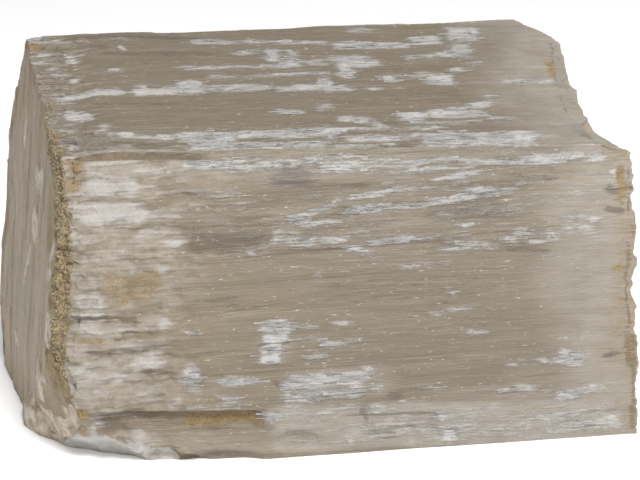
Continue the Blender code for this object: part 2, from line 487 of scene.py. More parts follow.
FRONT_CALM = Bundles(0.6 * MM, 55 * MM, 6 * MM, seed=3.1, steps=3)
FRONT_FLAKY = Bundles(1.5 * MM, 13 * MM, 4.5 * MM, seed=7.7, steps=3)
FRONT_FINE = Bundles(0.35 * MM, 16 * MM, 2.7 * MM, seed=1.3)
UPPER_STEPS = Bundles(0.6 * MM, 70 * MM, 7 * MM, seed=11.9, steps=3)
UPPER_COMB = Bundles(1.0 * MM, 9 * MM, 2.9 * MM, seed=5.2)
UPPER_FINE = Bundles(0.25 * MM, 24 * MM, 3 * MM, seed=2.6)
BACK_STEPS = Bundles(1.4 * MM, 48 * MM, 9 * MM, seed=19.4, steps=4)
BACK_FINE = Bundles(0.35 * MM, 18 * MM, 3 * MM, seed=23.5)
LEFT_RIDGES = Bundles(0.8 * MM, 42 * MM, 7 * MM, seed=31.2, steps=3)
SEAM_LUMPS = Bundles(1.3 * MM, 5 * MM, 3 * MM, seed=4.4)
RIGHT_RAGGED = Bundles(1.2 * MM, 7 * MM, 4 * MM, seed=41.8, steps=3)
FOOT_LUMPS = 2.0 * MM
FOOT_LUMP_SPAN = 9 * MM

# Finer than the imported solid: split and snapped fibres, teeth, and crumbled stone.
FIBRES = Bundles(0.12 * MM, 30 * MM, 0.9 * MM, seed=51.3)
BROAD_SPLITS = Splinters(0.34 * MM, 19 * MM, 2.3 * MM, crown=0.35, seed=57.9)
FINE_SPLITS = Splinters(0.26 * MM, 7 * MM, 0.95 * MM, crown=0.5, seed=63.1)
BACK_SPLITS = Splinters(0.7 * MM, 26 * MM, 3.1 * MM, crown=0.3, seed=71.7)
TEETH = Splinters(1.1 * MM, 8 * MM, 1.5 * MM, crown=0.5, seed=66.6)
BROKEN_ENDS = Splinters(0.55 * MM, 5 * MM, 2.1 * MM, crown=0.3, seed=77.2)
END_SILK = Splinters(0.3 * MM, 17 * MM, 1.9 * MM, crown=0.2, seed=81.5)
CALM_SHARE = 0.22
FLAKY_DRIFT = 9 * MM
FLAKY_SPAN = 11 * MM
RAISED_SHARE = 0.45
SHOULDER_FROM_Z = (46 * MM, 60 * MM)
SHOULDER_ROUGH = 0.6
SHOULDER_BRUISE = 0.16
SHOULDER_RAISED = 0.5
RIGHT_CRUMBLE = 0.5
RIGHT_CRUMBLED = 0.7
FOOT_CRUMBLE = 1.5
FOOT_CRUMBLE_SPREAD = 2.2
FLAKY_ROUGH = 0.55
CRUMBLE_DEPTH = 1.25 * MM
CRUMBLE_SPAN = 3.4 * MM
CRUMBLE_FINE = 0.4
CRUMBLE_MEAN = 0.6
SEAM_DEPTH = 1.1 * MM
SEAM_SPAN = 1.5 * MM

# Brows on the front, the long one low at the left first.
LEDGES = (
    Ledge(Vector((-56.5, 0, 13.8)) * MM, Vector((-18, 0, 12.2)) * MM, 4.0 * MM, 2.2 * MM),
    Ledge(Vector((-63, 0, 37.6)) * MM, Vector((-46, 0, 37.0)) * MM, 1.8 * MM, 1.1 * MM),
    Ledge(Vector((-57, 0, 29.0)) * MM, Vector((-38, 0, 29.6)) * MM, 2.4 * MM, 1.0 * MM),
    Ledge(Vector((2, 0, 9.6)) * MM, Vector((24, 0, 8.8)) * MM, 4.0 * MM, 0.9 * MM),
    Ledge(Vector((-16, 0, 57.0)) * MM, Vector((44, 0, 62.5)) * MM, 3.4 * MM, 0.5 * MM),
)
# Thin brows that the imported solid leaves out.
FINE_LEDGES = (
    Ledge(Vector((-24, 0, 49.6)) * MM, Vector((56, 0, 53.4)) * MM, 0.9 * MM, 0.24 * MM, 0.2 * MM),
    Ledge(Vector((-16, 0, 26.9)) * MM, Vector((-10, 0, 26.9)) * MM, 0.6 * MM, 0.3 * MM, 0.15 * MM),
    Ledge(Vector((-34, 0, 21.4)) * MM, Vector((30, 0, 22.6)) * MM, 0.8 * MM, 0.21 * MM, 0.2 * MM),
    Ledge(Vector((-36, 0, 35.6)) * MM, Vector((-10, 0, 38.6)) * MM, 0.9 * MM, 0.21 * MM, 0.2 * MM),
    Ledge(Vector((-40, 0, 43.0)) * MM, Vector((14, 0, 44.2)) * MM, 1.1 * MM, 0.15 * MM, 0.2 * MM),
    Ledge(Vector((-38, 0, 26.6)) * MM, Vector((-8, 0, 29.0)) * MM, 1.0 * MM, 0.21 * MM, 0.2 * MM),
    Ledge(Vector((44, 0, 16.4)) * MM, Vector((60, 0, 16.6)) * MM, 1.0 * MM, 0.18 * MM, 0.2 * MM),
    Ledge(Vector((-14, 0, 14.6)) * MM, Vector((8, 0, 15.2)) * MM, 1.4 * MM, 0.3 * MM, 0.2 * MM),
)
# Bites out of each face. One with a negative depth is a lump.
BITES = {
    Side.RIGHT_END: (
        Hollow(Vector((66, -21, 79)) * MM, Vector((17, 16, 12)) * MM, 5.6 * MM),
        Hollow(Vector((64, -6, 84)) * MM, Vector((15, 9, 8)) * MM, 2.8 * MM),
        Hollow(Vector((68, -31, 73.5)) * MM, Vector((10, 8, 5.6)) * MM, 4.6 * MM),
        Hollow(Vector((60, 15, 90)) * MM, Vector((9, 5.5, 7)) * MM, 2.6 * MM),
        Hollow(Vector((70, -38, 58)) * MM, Vector((8, 9, 2.6)) * MM, 1.0 * MM),
        Hollow(Vector((71, -34, 38)) * MM, Vector((8, 12, 6)) * MM, 1.2 * MM),
        Hollow(Vector((62, 4, 58)) * MM, Vector((12, 14, 16)) * MM, 2.0 * MM),
        Hollow(Vector((62, 20, 25)) * MM, Vector((12, 11, 13)) * MM, 2.2 * MM),
    ),
    Side.LEFT_END: (
        Hollow(Vector((-71, 38, 48)) * MM, Vector((9, 22, 17)) * MM, 0.9 * MM),
        Hollow(Vector((-63, -30, 55)) * MM, Vector((7, 5, 16)) * MM, 0.8 * MM),
        Hollow(Vector((-67, -9, 1)) * MM, Vector((9, 12, 9)) * MM, -1.7 * MM),
    ),
    Side.UPPER: (
        Hollow(Vector((-18, 14, 91)) * MM, Vector((26, 9, 5)) * MM, 0.6 * MM),
    ),
    Side.FRONT: (
        Hollow(Vector((-41, -38, 0)) * MM, Vector((12, 5, 3)) * MM, 1.8 * MM),
        Hollow(Vector((-27, -38, 0)) * MM, Vector((11, 5, 3.5)) * MM, 2.0 * MM),
        Hollow(Vector((-9, -38, 4)) * MM, Vector((6, 5, 3)) * MM, 1.1 * MM),
        Hollow(Vector((-39, -38, 56)) * MM, Vector((9, 5, 3)) * MM, 1.0 * MM),
        Hollow(Vector((-44, -38, 21)) * MM, Vector((11, 5, 3)) * MM, 1.2 * MM),
        Hollow(Vector((18, -38, 3.5)) * MM, Vector((3, 5, 3)) * MM, 0.9 * MM),
    ),
    Side.BACK: (),
    Side.SEAM: (),
    Side.FOOT: (),
}

# How far a stroke fades on either side of its ends and flanks, in millimetres.
END_SKIRT = 2.4
FLANK_SKIRT = 0.75
SHORTEST_RUN = 0.1
# How far a stroke's path is pushed about, along and across, and over what span.
STRAY_ALONG = 1.0
STRAY_ACROSS = 0.5
STRAY_SPAN = Vector((8, 2.2, 1))
# Without a seed the vector noise takes its offsets from the clock, and no two runs are alike.
STRAY_SEED = 7
# Faint marks that a side has all over.
EVERYWHERE = {
    (Mark.BRUISE, Side.FRONT): 0.06,
    (Mark.BRUISE, Side.UPPER): 0.04,
    (Mark.BRUISE, Side.BACK): 0.37,
    (Mark.BRUISE, Side.LEFT_END): 0.06,
    (Mark.BRUISE, Side.RIGHT_END): 0.4,
    # The foot's bruise and frost are partly painted light: they keep pale a face that turns down into shade.
    (Mark.BRUISE, Side.FOOT): 0.8,
    (Mark.FROST, Side.BACK): 0.5,
    (Mark.FROST, Side.RIGHT_END): 0.85,
    # Partly painted light, as with the foot's bruise above.
    (Mark.FROST, Side.FOOT): 0.9,
    (Mark.OCHRE, Side.BACK): 0.16,
    (Mark.OCHRE, Side.LEFT_END): 0.48,
    (Mark.OCHRE, Side.UPPER): 0.05,
    (Mark.SEAM, Side.SEAM): 0.78,
    (Mark.OCHRE, Side.RIGHT_END): 0.36,
    (Mark.OCHRE, Side.FOOT): 0.1,
    # The clear stone and shade that the upper face and the left end have all over are partly painted shade:
    # these sides are made darker than the front, as less light falls on them.
    (Mark.CLEAR, Side.UPPER): 0.55,
    (Mark.CLEAR, Side.LEFT_END): 0.98,
    (Mark.SHADE, Side.LEFT_END): 0.36,
    (Mark.CLEAR, Side.FRONT): 0.2,
    (Mark.CLEAR, Side.BACK): 0.2,
}
ZONES = {
    (Mark.FROST, Side.FRONT): (Zone(42, 64, 0.85),),
    (Mark.FROST, Side.UPPER): (Zone(34, 58, 0.8),),
    (Mark.OCHRE, Side.FRONT): (Zone(10, -50, 0.28), Zone(58, 71, 0.44)),
    (Mark.OCHRE, Side.UPPER): (Zone(52, 66, 0.12),),
    (Mark.BRUISE, Side.FRONT): (Zone(-30, -50, 0.42),),
    (Mark.BRUISE, Side.UPPER): (Zone(-51, -65, 0.58),),
}
ZONE_DRIFT = 12
ZONE_SPAN = 16
# How many times wider most bruises are made than they were first laid out.
BRUISE_SPREAD = 1.18
AS_LAID = 1.0
# The sheets that marks are laid out on.
UPPER = Sheet(Side.UPPER, (0, CREST_Y / MM, CREST_Z / MM), (UPPER_FALL, -UPPER_RISE, 1))
SHOULDER = Sheet(Side.FRONT, (0, FRONT_Y / MM, SHOULDER_Z / MM), (0, -1, SHOULDER_LEAN))
FRONT = Sheet(Side.FRONT, (0, FRONT_Y / MM, 0), (0, -1, 0))
LEFT = Sheet(Side.LEFT_END, (LEFT_END_X / MM, FRONT_Y / MM, 0), (-1, -LEFT_END_SLANT, LEFT_END_LEAN))
HEEL = Sheet(Side.LEFT_END, (-68.6, -7.7, 0), (-1, -0.434, -0.335))
FOOT = Sheet(Side.FOOT, (-45, -31, 0), (-0.42, -0.585, -0.694))
# The marks as they are seen in the view, by kind, sheet and spread. Each goes from one spot to
# another, across and down in pixels, with its full width there and its strength.
DRAWN = {
    (Mark.BRUISE, UPPER, BRUISE_SPREAD): (
        Stroke((190, 40), (240, 40), 6, 0.7),
        Stroke((240, 40), (330, 41), 5, 0.8),
        Stroke((330, 44), (412, 44), 6, 0.9),
        Stroke((408, 40), (444, 38), 7, 0.8),
        Stroke((446, 32), (478, 32), 14, 1),
        Stroke((448, 47), (472, 50), 12, 0.9),
        Stroke((436, 54), (474, 54), 6, 0.8),
        Stroke((346, 28), (380, 30), 7, 0.5),
        Stroke((116, 43), (127, 50), 4, 0.9),
        Stroke((232, 52), (262, 49), 5, 0.9),
        Stroke((264, 53), (282, 54), 11, 1),
        Stroke((284, 50), (300, 52), 6, 0.9),
        Stroke((286, 58), (304, 62), 8, 1),
        Stroke((304, 60), (330, 61), 6, 0.8),
        Stroke((336, 70), (354, 73), 10, 1),
        Stroke((322, 76), (332, 90), 10, 1),
        Stroke((336, 85), (354, 86), 6, 0.9),
        Stroke((136, 84), (152, 84), 5, 0.7),
        Stroke((178, 84), (204, 83), 8, 1),
        Stroke((62, 91), (126, 90), 6, 0.85),
        Stroke((132, 90), (182, 89), 7, 1),
        Stroke((182, 89), (206, 88), 6, 1),
        Stroke((206, 87), (272, 85), 6, 0.85),
        Stroke((274, 87), (330, 85), 5, 0.85),
        Stroke((272, 109), (308, 112), 5, 0.85),
        Stroke((314, 106), (334, 107), 8, 0.7),
        Stroke((338, 116), (362, 117), 5, 0.9),
        Stroke((358, 117), (372, 120), 7, 1),
        Stroke((370, 121), (396, 127), 6, 0.95),
        Stroke((396, 115), (428, 115), 7, 1),
        Stroke((428, 112), (490, 111), 7, 1),
        Stroke((440, 108), (474, 106), 4, 0.8),
        Stroke((470, 105), (494, 101), 6, 0.95),
        Stroke((484, 97), (496, 97), 5, 0.9),
        Stroke((400, 121), (520, 117), 5, 0.6),
        Stroke((330, 128), (442, 126), 4, 0.9),
        Stroke((410, 74), (434, 73), 5, 0.8),
        Stroke((424, 77), (454, 78), 9, 1),
        Stroke((448, 70), (466, 67), 6, 0.85),
        Stroke((474, 63), (484, 62), 4, 0.8),
        Stroke((380, 78), (402, 77), 6, 0.8),
        Stroke((364, 86), (382, 86), 5, 0.8),
        Stroke((388, 85), (406, 85), 4, 0.7),
        Stroke((336, 62), (380, 62), 8, 1),
        Stroke((326, 57), (372, 56), 5, 0.75),
        Stroke((404, 57), (440, 56), 4, 0.7),
        Stroke((94, 127), (108, 127), 6, 0.95),
        Stroke((118, 134), (176, 136), 5, 1),
        Stroke((176, 135), (236, 135), 9, 1),
        Stroke((192, 144), (240, 144), 8, 1),
        Stroke((206, 129), (216, 128), 6, 1),
        Stroke((236, 134), (334, 130), 8, 0.95),
        Stroke((236, 145), (330, 144), 8, 0.95),
        Stroke((324, 130), (336, 132), 12, 1),
        Stroke((344, 137), (422, 134), 6, 1),
        Stroke((330, 146), (384, 147), 10, 0.95),
        Stroke((384, 143), (404, 143), 6, 0.7),
        Stroke((420, 138), (538, 137), 14, 1),
        Stroke((420, 149), (530, 148), 12, 1),
        Stroke((500, 80), (556, 80), 4, 0.7),
        Stroke((540, 148), (604, 150), 6, 0.6),
        Stroke((44, 62), (64, 64), 4, 0.9),
        Stroke((48, 70), (66, 72), 4, 0.8),
        Stroke((50, 80), (64, 80), 4, 0.7),
        Stroke((56, 98), (78, 98), 4, 0.8),
        Stroke((62, 112), (96, 114), 6, 1),
        Stroke((58, 118), (80, 118), 4, 0.9),
        Stroke((62, 126), (78, 126), 4, 0.8),
        Stroke((62, 134), (84, 134), 4, 0.8),
        Stroke((66, 143), (76, 144), 6, 1),
        Stroke((66, 150), (90, 151), 4, 0.7),
        Stroke((40, 40), (130, 37), 4, 0.6),
        Stroke((46, 90), (74, 92), 8, 0.6),
        Stroke((70, 134), (120, 136), 10, 0.5),
        Stroke((78, 150), (200, 153), 8, 0.55),
        Stroke((90, 156), (280, 156), 5, 0.62),
        Stroke((76, 154), (170, 155), 8, 0.7),
    ),
    (Mark.BRUISE, UPPER, AS_LAID): (
        Stroke((180, 66), (292, 64), 4, 0.8),
        Stroke((205, 75), (330, 71), 4, 0.75),
        Stroke((84, 71), (128, 69), 4, 0.7),
        Stroke((60, 106), (82, 106), 5.3, 0.9),
        Stroke((190, 148), (300, 146), 8, 0.55),
        Stroke((60, 51), (77, 53), 4.6, 0.9),
        Stroke((66, 56), (80, 58), 5.6, 1),
        Stroke((75, 52), (88, 53), 3.6, 0.9),
        Stroke((48, 61), (62, 62), 3.6, 0.8),
        Stroke((54, 65), (68, 66), 4.6, 0.85),
        Stroke((60, 70), (74, 72), 4.6, 0.9),
        Stroke((68, 76), (79, 78), 7.5, 1),
    ),
    # Painted shade along the crest and the right rim, where the faces turn away from the light; the other
    # strokes are darker streaks and bands of stone.
    (Mark.SHADE, UPPER, AS_LAID): (
        Stroke((44, 36), (200, 35), 4, 0.9),
        Stroke((60, 44), (110, 45), 5, 0.5),
        Stroke((100, 52), (220, 52), 5, 0.6),
        Stroke((90, 66), (160, 62), 10, 0.35),
        Stroke((340, 68), (470, 66), 8, 0.35),
        Stroke((330, 98), (470, 94), 14, 0.3),
        Stroke((280, 122), (460, 120), 6, 0.4),
        Stroke((90, 104), (200, 103), 4, 0.5),
        Stroke((70, 140), (190, 146), 8, 0.6),
        Stroke((380, 144), (416, 144), 8, 0.8),
        Stroke((240, 138), (300, 139), 4, 0.6),
        Stroke((547, 38), (563, 66), 3, 0.8),
        Stroke((565, 76), (586, 120), 3, 0.8),
        Stroke((588, 122), (604, 140), 3, 0.8),
        Stroke((590, 124), (612, 144), 4, 0.7),
    ),
    (Mark.FROST, UPPER, AS_LAID): (
        Stroke((70, 150), (290, 152), 14, 0.5),
    ),
    (Mark.OCHRE, UPPER, AS_LAID): (
        Stroke((550, 58), (562, 78), 14, 0.7),
        Stroke((572, 92), (582, 112), 9, 0.5),
        Stroke((530, 48), (560, 62), 12, 0.3),
        Stroke((590, 132), (604, 142), 9, 0.4),
        Stroke((28, 38), (40, 44), 9, 0.8),
        Stroke((52, 120), (62, 160), 10, 0.6),
    ),
    (Mark.SEAM, UPPER, AS_LAID): (
        Stroke((38, 60), (47, 92), 3.4, 0.62),
        Stroke((46, 92), (54, 116), 4.5, 0.7),
    ),
    (Mark.BRUISE, SHOULDER, BRUISE_SPREAD): (
        Stroke((188, 143), (240, 143), 8, 0.9),
        Stroke((232, 160), (300, 160), 6, 0.6),
        Stroke((300, 160), (440, 160), 10, 0.46),
        Stroke((232, 167), (260, 168), 6, 0.8),
        Stroke((306, 170), (440, 168), 8, 0.42),
        Stroke((440, 162), (560, 161), 7, 0.7),
        Stroke((520, 158), (604, 158), 6, 0.9),
        Stroke((596, 152), (606, 162), 9, 0.8),
        Stroke((430, 204), (470, 196), 8, 1),
        Stroke((466, 194), (502, 189), 9, 1),
        Stroke((500, 189), (516, 190), 6, 0.9),
        Stroke((498, 196), (506, 203), 4, 0.8),
        Stroke((285, 222), (345, 200), 6, 0.8),
        Stroke((345, 200), (426, 186), 5, 0.85),
        Stroke((285, 224), (345, 223), 4, 0.7),
        Stroke((340, 212), (430, 206), 6, 0.8),
        Stroke((130, 168), (172, 176), 6, 0.75),
        Stroke((208, 163), (236, 169), 6, 0.8),
        Stroke((84, 180), (140, 190), 18, 0.9),
        Stroke((78, 214), (150, 216), 20, 1),
        Stroke((74, 208), (84, 212), 10, 1),
        Stroke((560, 225), (600, 228), 20, 0.5),
        Stroke((455, 227), (472, 226), 4, 0.9),
        Stroke((494, 227), (504, 227), 4, 0.8),
        Stroke((500, 240), (522, 242), 8, 0.85),
        Stroke((516, 233), (536, 236), 8, 0.9),
        Stroke((530, 244), (546, 242), 5, 0.9),
        Stroke((546, 236), (558, 236), 8, 1),
        Stroke((84, 216), (148, 214), 20, 0.9),
        Stroke((84, 184), (112, 186), 22, 0.8),
        Stroke((165, 164), (300, 163), 9, 0.58),
    ),
    (Mark.BRUISE, SHOULDER, AS_LAID): (
        Stroke((432, 182), (480, 172), 4.2, 0.9),
        Stroke((230, 242), (560, 240), 24, 0.28),
        Stroke((205, 164), (300, 164), 12, 0.68),
        Stroke((300, 165), (460, 163), 16, 0.4),
    ),
    # Mostly painted shadows in the slits under raised white flakes on the shoulder; the wide faint ones are
    # darker grey-brown stone.
    (Mark.SHADE, SHOULDER, AS_LAID): (
        Stroke((230, 174), (252, 173), 4, 0.8),
        Stroke((258, 168), (306, 169), 7, 0.7),
        Stroke((264, 181), (324, 181), 12.8, 0.56),
        Stroke((300, 186), (372, 186), 6, 0.8),
        Stroke((426, 186), (536, 182), 9.6, 0.56),
        Stroke((452, 185), (478, 185), 6, 0.8),
        Stroke((426, 212), (516, 214), 9.6, 0.56),
        Stroke((500, 176), (560, 178), 6, 0.6),
        Stroke((178, 193), (216, 193), 6, 0.8),
        Stroke((158, 213), (174, 213), 5, 0.7),
        Stroke((171, 227), (256, 227), 8, 0.37),
        Stroke((81, 201), (136, 201), 6.4, 0.31),
        Stroke((155, 190), (172, 190), 6, 0.5),
        Stroke((486, 222), (564, 222), 6.4, 0.25),
        Stroke((380, 152), (420, 144), 5, 0.5),
        Stroke((190, 238), (262, 237), 14, 0.55),
    ),
    (Mark.FROST, SHOULDER, AS_LAID): (
        Stroke((160, 172), (420, 168), 22, 0.45),
        Stroke((200, 166), (560, 162), 26, 0.16),
    ),
    (Mark.OCHRE, SHOULDER, AS_LAID): (
        Stroke((66, 168), (83, 170), 15, 1),
        Stroke((62, 184), (79, 187), 14, 1),
        Stroke((62, 198), (70, 201), 10, 0.9),
    ),
    (Mark.CLEAR, SHOULDER, AS_LAID): (
        Stroke((430, 214), (505, 208), 20, 0.9),
        Stroke((330, 216), (400, 208), 18, 0.6),
        Stroke((200, 200), (330, 198), 20, 0.6),
        Stroke((180, 228), (270, 226), 26, 0.9),
        Stroke((72, 156), (205, 156), 11, 2),
        Stroke((182, 246), (262, 244), 20, 1.5),
        Stroke((276, 178), (310, 178), 18, 2),
    ),
    (Mark.BRUISE, FRONT, BRUISE_SPREAD): (
        Stroke((245, 254), (262, 254), 7, 0.9),
        Stroke((265, 244), (326, 243), 6, 0.75),
        Stroke((324, 242), (346, 241), 6, 1),
        Stroke((350, 248), (362, 248), 6, 1),
        Stroke((362, 244), (440, 238), 6, 0.75),
        Stroke((440, 248), (500, 246), 10, 0.55),
        Stroke((430, 262), (500, 262), 8, 0.35),
        Stroke((262, 269), (271, 270), 4, 0.9),
        Stroke((290, 267), (302, 267), 4, 0.8),
        Stroke((312, 275), (326, 276), 8, 0.7),
        Stroke((358, 265), (368, 265), 4, 0.9),
        Stroke((384, 262), (396, 264), 10, 0.6),
        Stroke((400, 268), (420, 270), 8, 0.5),
        Stroke((454, 263), (460, 263), 4, 1),
        Stroke((462, 278), (469, 275), 5, 1),
        Stroke((477, 272), (485, 272), 5, 1),
        Stroke((450, 291), (456, 296), 5, 1),
        Stroke((534, 267), (539, 267), 5, 0.9),
        Stroke((428, 318), (446, 315), 6, 0.7),
        Stroke((444, 312), (478, 308), 6, 0.6),
        Stroke((462, 333), (490, 333), 4, 0.8),
        Stroke((500, 358), (506, 358), 4, 1),
        Stroke((504, 364), (522, 365), 4, 0.9),
        Stroke((518, 362), (528, 364), 8, 0.9),
        Stroke((536, 362), (550, 362), 5, 1),
        Stroke((552, 362), (560, 362), 4, 0.9),
        Stroke((556, 356), (584, 362), 14, 0.8),
        Stroke((498, 391), (512, 390), 4, 0.8),
        Stroke((512, 390), (536, 390), 5, 1),
        Stroke((522, 395), (532, 395), 6, 0.8),
        Stroke((540, 391), (556, 390), 5, 0.9),
        Stroke((554, 398), (582, 394), 10, 0.9),
        Stroke((576, 390), (612, 390), 8, 0.8),
        Stroke((396, 264), (400, 276), 6, 0.3),
        Stroke((96, 282), (86, 286), 14, 0.8),
        Stroke((156, 276), (170, 272), 14, 0.8),
        Stroke((166, 246), (182, 246), 8, 0.9),
        Stroke((90, 244), (150, 246), 18, 0.55),
        Stroke((72, 331), (108, 331), 12, 0.7),
        Stroke((72, 370), (92, 376), 22, 0.75),
        Stroke((86, 378), (98, 380), 14, 1),
        Stroke((110, 382), (128, 380), 14, 1),
        Stroke((128, 374), (164, 358), 14, 0.95),
        Stroke((156, 322), (170, 330), 16, 0.95),
        Stroke((172, 333), (202, 334), 4, 0.9),
        Stroke((112, 332), (140, 334), 14, 0.6),
        Stroke((112, 344), (152, 346), 12, 0.6),
        Stroke((190, 366), (196, 392), 12, 1),
        Stroke((172, 396), (180, 412), 14, 0.8),
        Stroke((120, 395), (160, 402), 22, 0.5),
        Stroke((216, 400), (242, 402), 10, 0.7),
        Stroke((180, 409), (244, 408), 6, 0.7),
        Stroke((222, 382), (260, 381), 8, 0.95),
        Stroke((44, 436), (98, 444), 18, 0.85),
        Stroke((94, 424), (106, 428), 12, 0.9),
        Stroke((128, 444), (148, 442), 18, 1),
        Stroke((130, 432), (142, 434), 8, 0.8),
        Stroke((76, 395), (100, 392), 8, 0.6),
        Stroke((98, 388), (100, 398), 8, 0.8),
        Stroke((328, 324), (352, 324), 6, 0.9),
        Stroke((320, 345), (352, 345), 6, 0.85),
        Stroke((303, 340), (326, 340), 5, 0.7),
        Stroke((344, 340), (366, 339), 4, 0.7),
        Stroke((300, 356), (330, 356), 12, 0.45),
        Stroke((314, 374), (326, 374), 5, 0.8),
        Stroke((286, 380), (300, 392), 14, 1),
        Stroke((300, 394), (318, 400), 12, 1),
        Stroke((318, 380), (346, 380), 8, 0.95),
        Stroke((348, 386), (364, 386), 14, 1),
        Stroke((362, 372), (376, 372), 9, 1),
        Stroke((322, 396), (362, 394), 8, 0.9),
        Stroke((366, 384), (384, 392), 8, 0.6),
        Stroke((370, 411), (384, 411), 10, 0.9),
        Stroke((260, 417), (282, 418), 12, 0.7),
        Stroke((282, 404), (360, 412), 10, 0.4),
        Stroke((284, 438), (302, 437), 6, 0.7),
        Stroke((348, 434), (351, 448), 7, 0.9),
        Stroke((424, 390), (444, 390), 5, 0.8),
        Stroke((400, 404), (440, 400), 5, 0.6),
        Stroke((438, 410), (446, 420), 10, 1),
        Stroke((442, 426), (454, 442), 12, 0.95),
        Stroke((456, 428), (476, 427), 6, 0.8),
        Stroke((500, 426), (504, 434), 6, 0.9),
        Stroke((524, 428), (534, 428), 6, 0.8),
        Stroke((380, 420), (434, 428), 14, 0.45),
        Stroke((616, 172), (618, 186), 6, 0.9),
        Stroke((540, 424), (628, 420), 18, 0.6),
        Stroke((290, 384), (372, 378), 14, 0.75),
        Stroke((284, 398), (330, 396), 10, 0.9),
        Stroke((76, 380), (110, 384), 14, 0.7),
        Stroke((104, 372), (132, 378), 20, 0.75),
        Stroke((180, 376), (198, 392), 16, 0.7),
        Stroke((124, 384), (150, 396), 22, 0.55),
        Stroke((225, 262), (560, 258), 18, 0.26),
    ),
    (Mark.BRUISE, FRONT, AS_LAID): (
        Stroke((72, 306), (106, 306), 26, 0.8),
        Stroke((292, 327), (322, 326), 6, 0.5),
        Stroke((257, 431), (266, 430), 4, 0.9),
        Stroke((280, 430), (620, 420), 34, 0.4),
        Stroke((264, 332), (288, 331), 22, 1.8),
        Stroke((261, 355), (280, 354), 19, 1.7),
        Stroke((300, 384), (380, 378), 14, 0.5),
    ),
    # Painted shade under the brows and along the thin ledges, dark lines of fissures, and wide faint patches
    # of darker stone.
    (Mark.SHADE, FRONT, AS_LAID): (
        Stroke((265, 250), (365, 249), 4, 0.9),
        Stroke((366, 246), (440, 243), 4, 0.7),
        Stroke((434, 240), (462, 248), 7, 0.8),
        Stroke((214, 242), (276, 241), 12, 0.5),
        Stroke((500, 250), (552, 250), 8, 0.6),
        Stroke((68, 322), (118, 319), 4, 1),
        Stroke((85, 354), (152, 355), 4, 1),
        Stroke((145, 328), (162, 326), 5, 0.8),
        Stroke((150, 395), (162, 396), 8, 0.8),
        Stroke((100, 431), (136, 432), 7, 0.8),
        Stroke((95, 415), (172, 417), 4, 0.9),
        Stroke((182, 249), (240, 256), 10, 0.5),
        Stroke((125, 286), (150, 292), 10, 0.6),
        Stroke((108, 350), (130, 362), 10, 0.4),
        Stroke((186, 430), (232, 430), 3, 1),
        Stroke((272, 383), (281, 384), 8, 1),
        Stroke((386, 398), (406, 396), 9, 0.8),
        Stroke((364, 404), (368, 426), 8, 0.8),
        Stroke((262, 428), (273, 428), 6, 0.9),
        Stroke((362, 436), (400, 434), 10, 0.7),
        Stroke((394, 427), (401, 428), 6, 0.9),
        Stroke((448, 428), (458, 430), 6, 0.8),
        Stroke((292, 409), (330, 408), 4, 0.5),
        Stroke((236, 368), (320, 366), 5, 0.5),
        Stroke((184, 304), (240, 299), 4, 0.6),
        Stroke((184, 310), (240, 306), 4, 0.5),
        Stroke((436, 414), (446, 414), 3.4, 0.8),
        Stroke((320, 292), (500, 288), 30, 0.35),
        Stroke((430, 300), (500, 330), 30, 0.3),
        Stroke((330, 350), (480, 345), 24, 0.25),
        # From here on mostly painted shade: below the ochre blob at the right, on the right rims that turn
        # away from the light, and the thin shadow under the white spot.
        Stroke((608, 189), (622, 193), 9, 0.9),
        Stroke((604, 357), (619, 353), 3, 2),
        Stroke((626, 332), (632, 372), 8, 0.75),
        Stroke((633, 166), (634, 236), 4, 0.8),
        Stroke((630, 240), (630, 330), 6, 0.8),
        Stroke((634, 330), (635, 430), 6, 0.75),
        Stroke((260, 344), (292, 343.5), 3, 1.4),
        Stroke((604, 209), (628, 213), 7, 1),
        Stroke((629, 338), (632, 362), 5, 0.7),
        Stroke((612, 200), (630, 206), 6, 0.6),
        Stroke((632, 396), (634, 430), 4, 0.6),
        Stroke((628, 296), (632, 326), 5, 0.6),
    ),
    (Mark.FROST, FRONT, AS_LAID): (
        Stroke((500, 436), (560, 434), 10, 0.4),
        Stroke((560, 424), (624, 424), 22, 0.9),
        Stroke((380, 430), (440, 440), 20, 0.6),
        Stroke((130, 444), (330, 446), 16, 0.5),
        Stroke((590, 170), (610, 200), 24, 0.7),
        Stroke((430, 412), (560, 404), 44, 0.25),
        Stroke((270, 430), (620, 420), 44, 0.9),
        Stroke((284, 388), (392, 380), 28, 0.4),
        Stroke((556, 420), (630, 414), 22, 0.35),
        Stroke((262, 344), (288, 343), 40, 0.7),
    ),
    (Mark.OCHRE, FRONT, AS_LAID): (
        Stroke((108, 300), (165, 276), 24, 0.55),
        Stroke((122, 296), (165, 286), 14, 0.5),
        Stroke((76, 344), (106, 342), 7, 0.6),
        Stroke((66, 418), (92, 414), 12, 0.9),
        Stroke((72, 400), (92, 398), 10, 0.4),
        Stroke((186, 424), (258, 420), 13, 1),
        Stroke((240, 304), (300, 304), 14, 0.25),
        Stroke((66, 165), (84, 172), 12, 0.9),
        Stroke((58, 206), (72, 210), 14, 0.5),
        Stroke((85, 250), (130, 246), 14, 0.4),
        Stroke((618, 204), (626, 212), 9, 0.5),
        Stroke((616, 232), (628, 230), 8, 0.5),
        Stroke((610, 405), (632, 402), 10, 0.35),
        Stroke((66, 419), (90, 421), 8, 0.8),
        Stroke((100, 284), (160, 294), 24, 0.5),
        Stroke((622, 168), (627, 200), 9, 1.1),
        Stroke((614, 194), (628, 206), 7, 0.6),
        Stroke((614, 269), (628, 268), 9, 1.1),
        Stroke((628, 332), (631, 364), 8, 0.6),
        Stroke((631, 400), (632, 428), 6, 0.35),
        Stroke((628, 214), (632, 262), 5, 0.3),
        Stroke((560, 180), (600, 184), 9, 0.35),
        Stroke((112, 292), (150, 286), 16, 0.5),
    ),
    (Mark.CLEAR, FRONT, AS_LAID): (
        Stroke((112, 284), (160, 292), 18, 0.8),
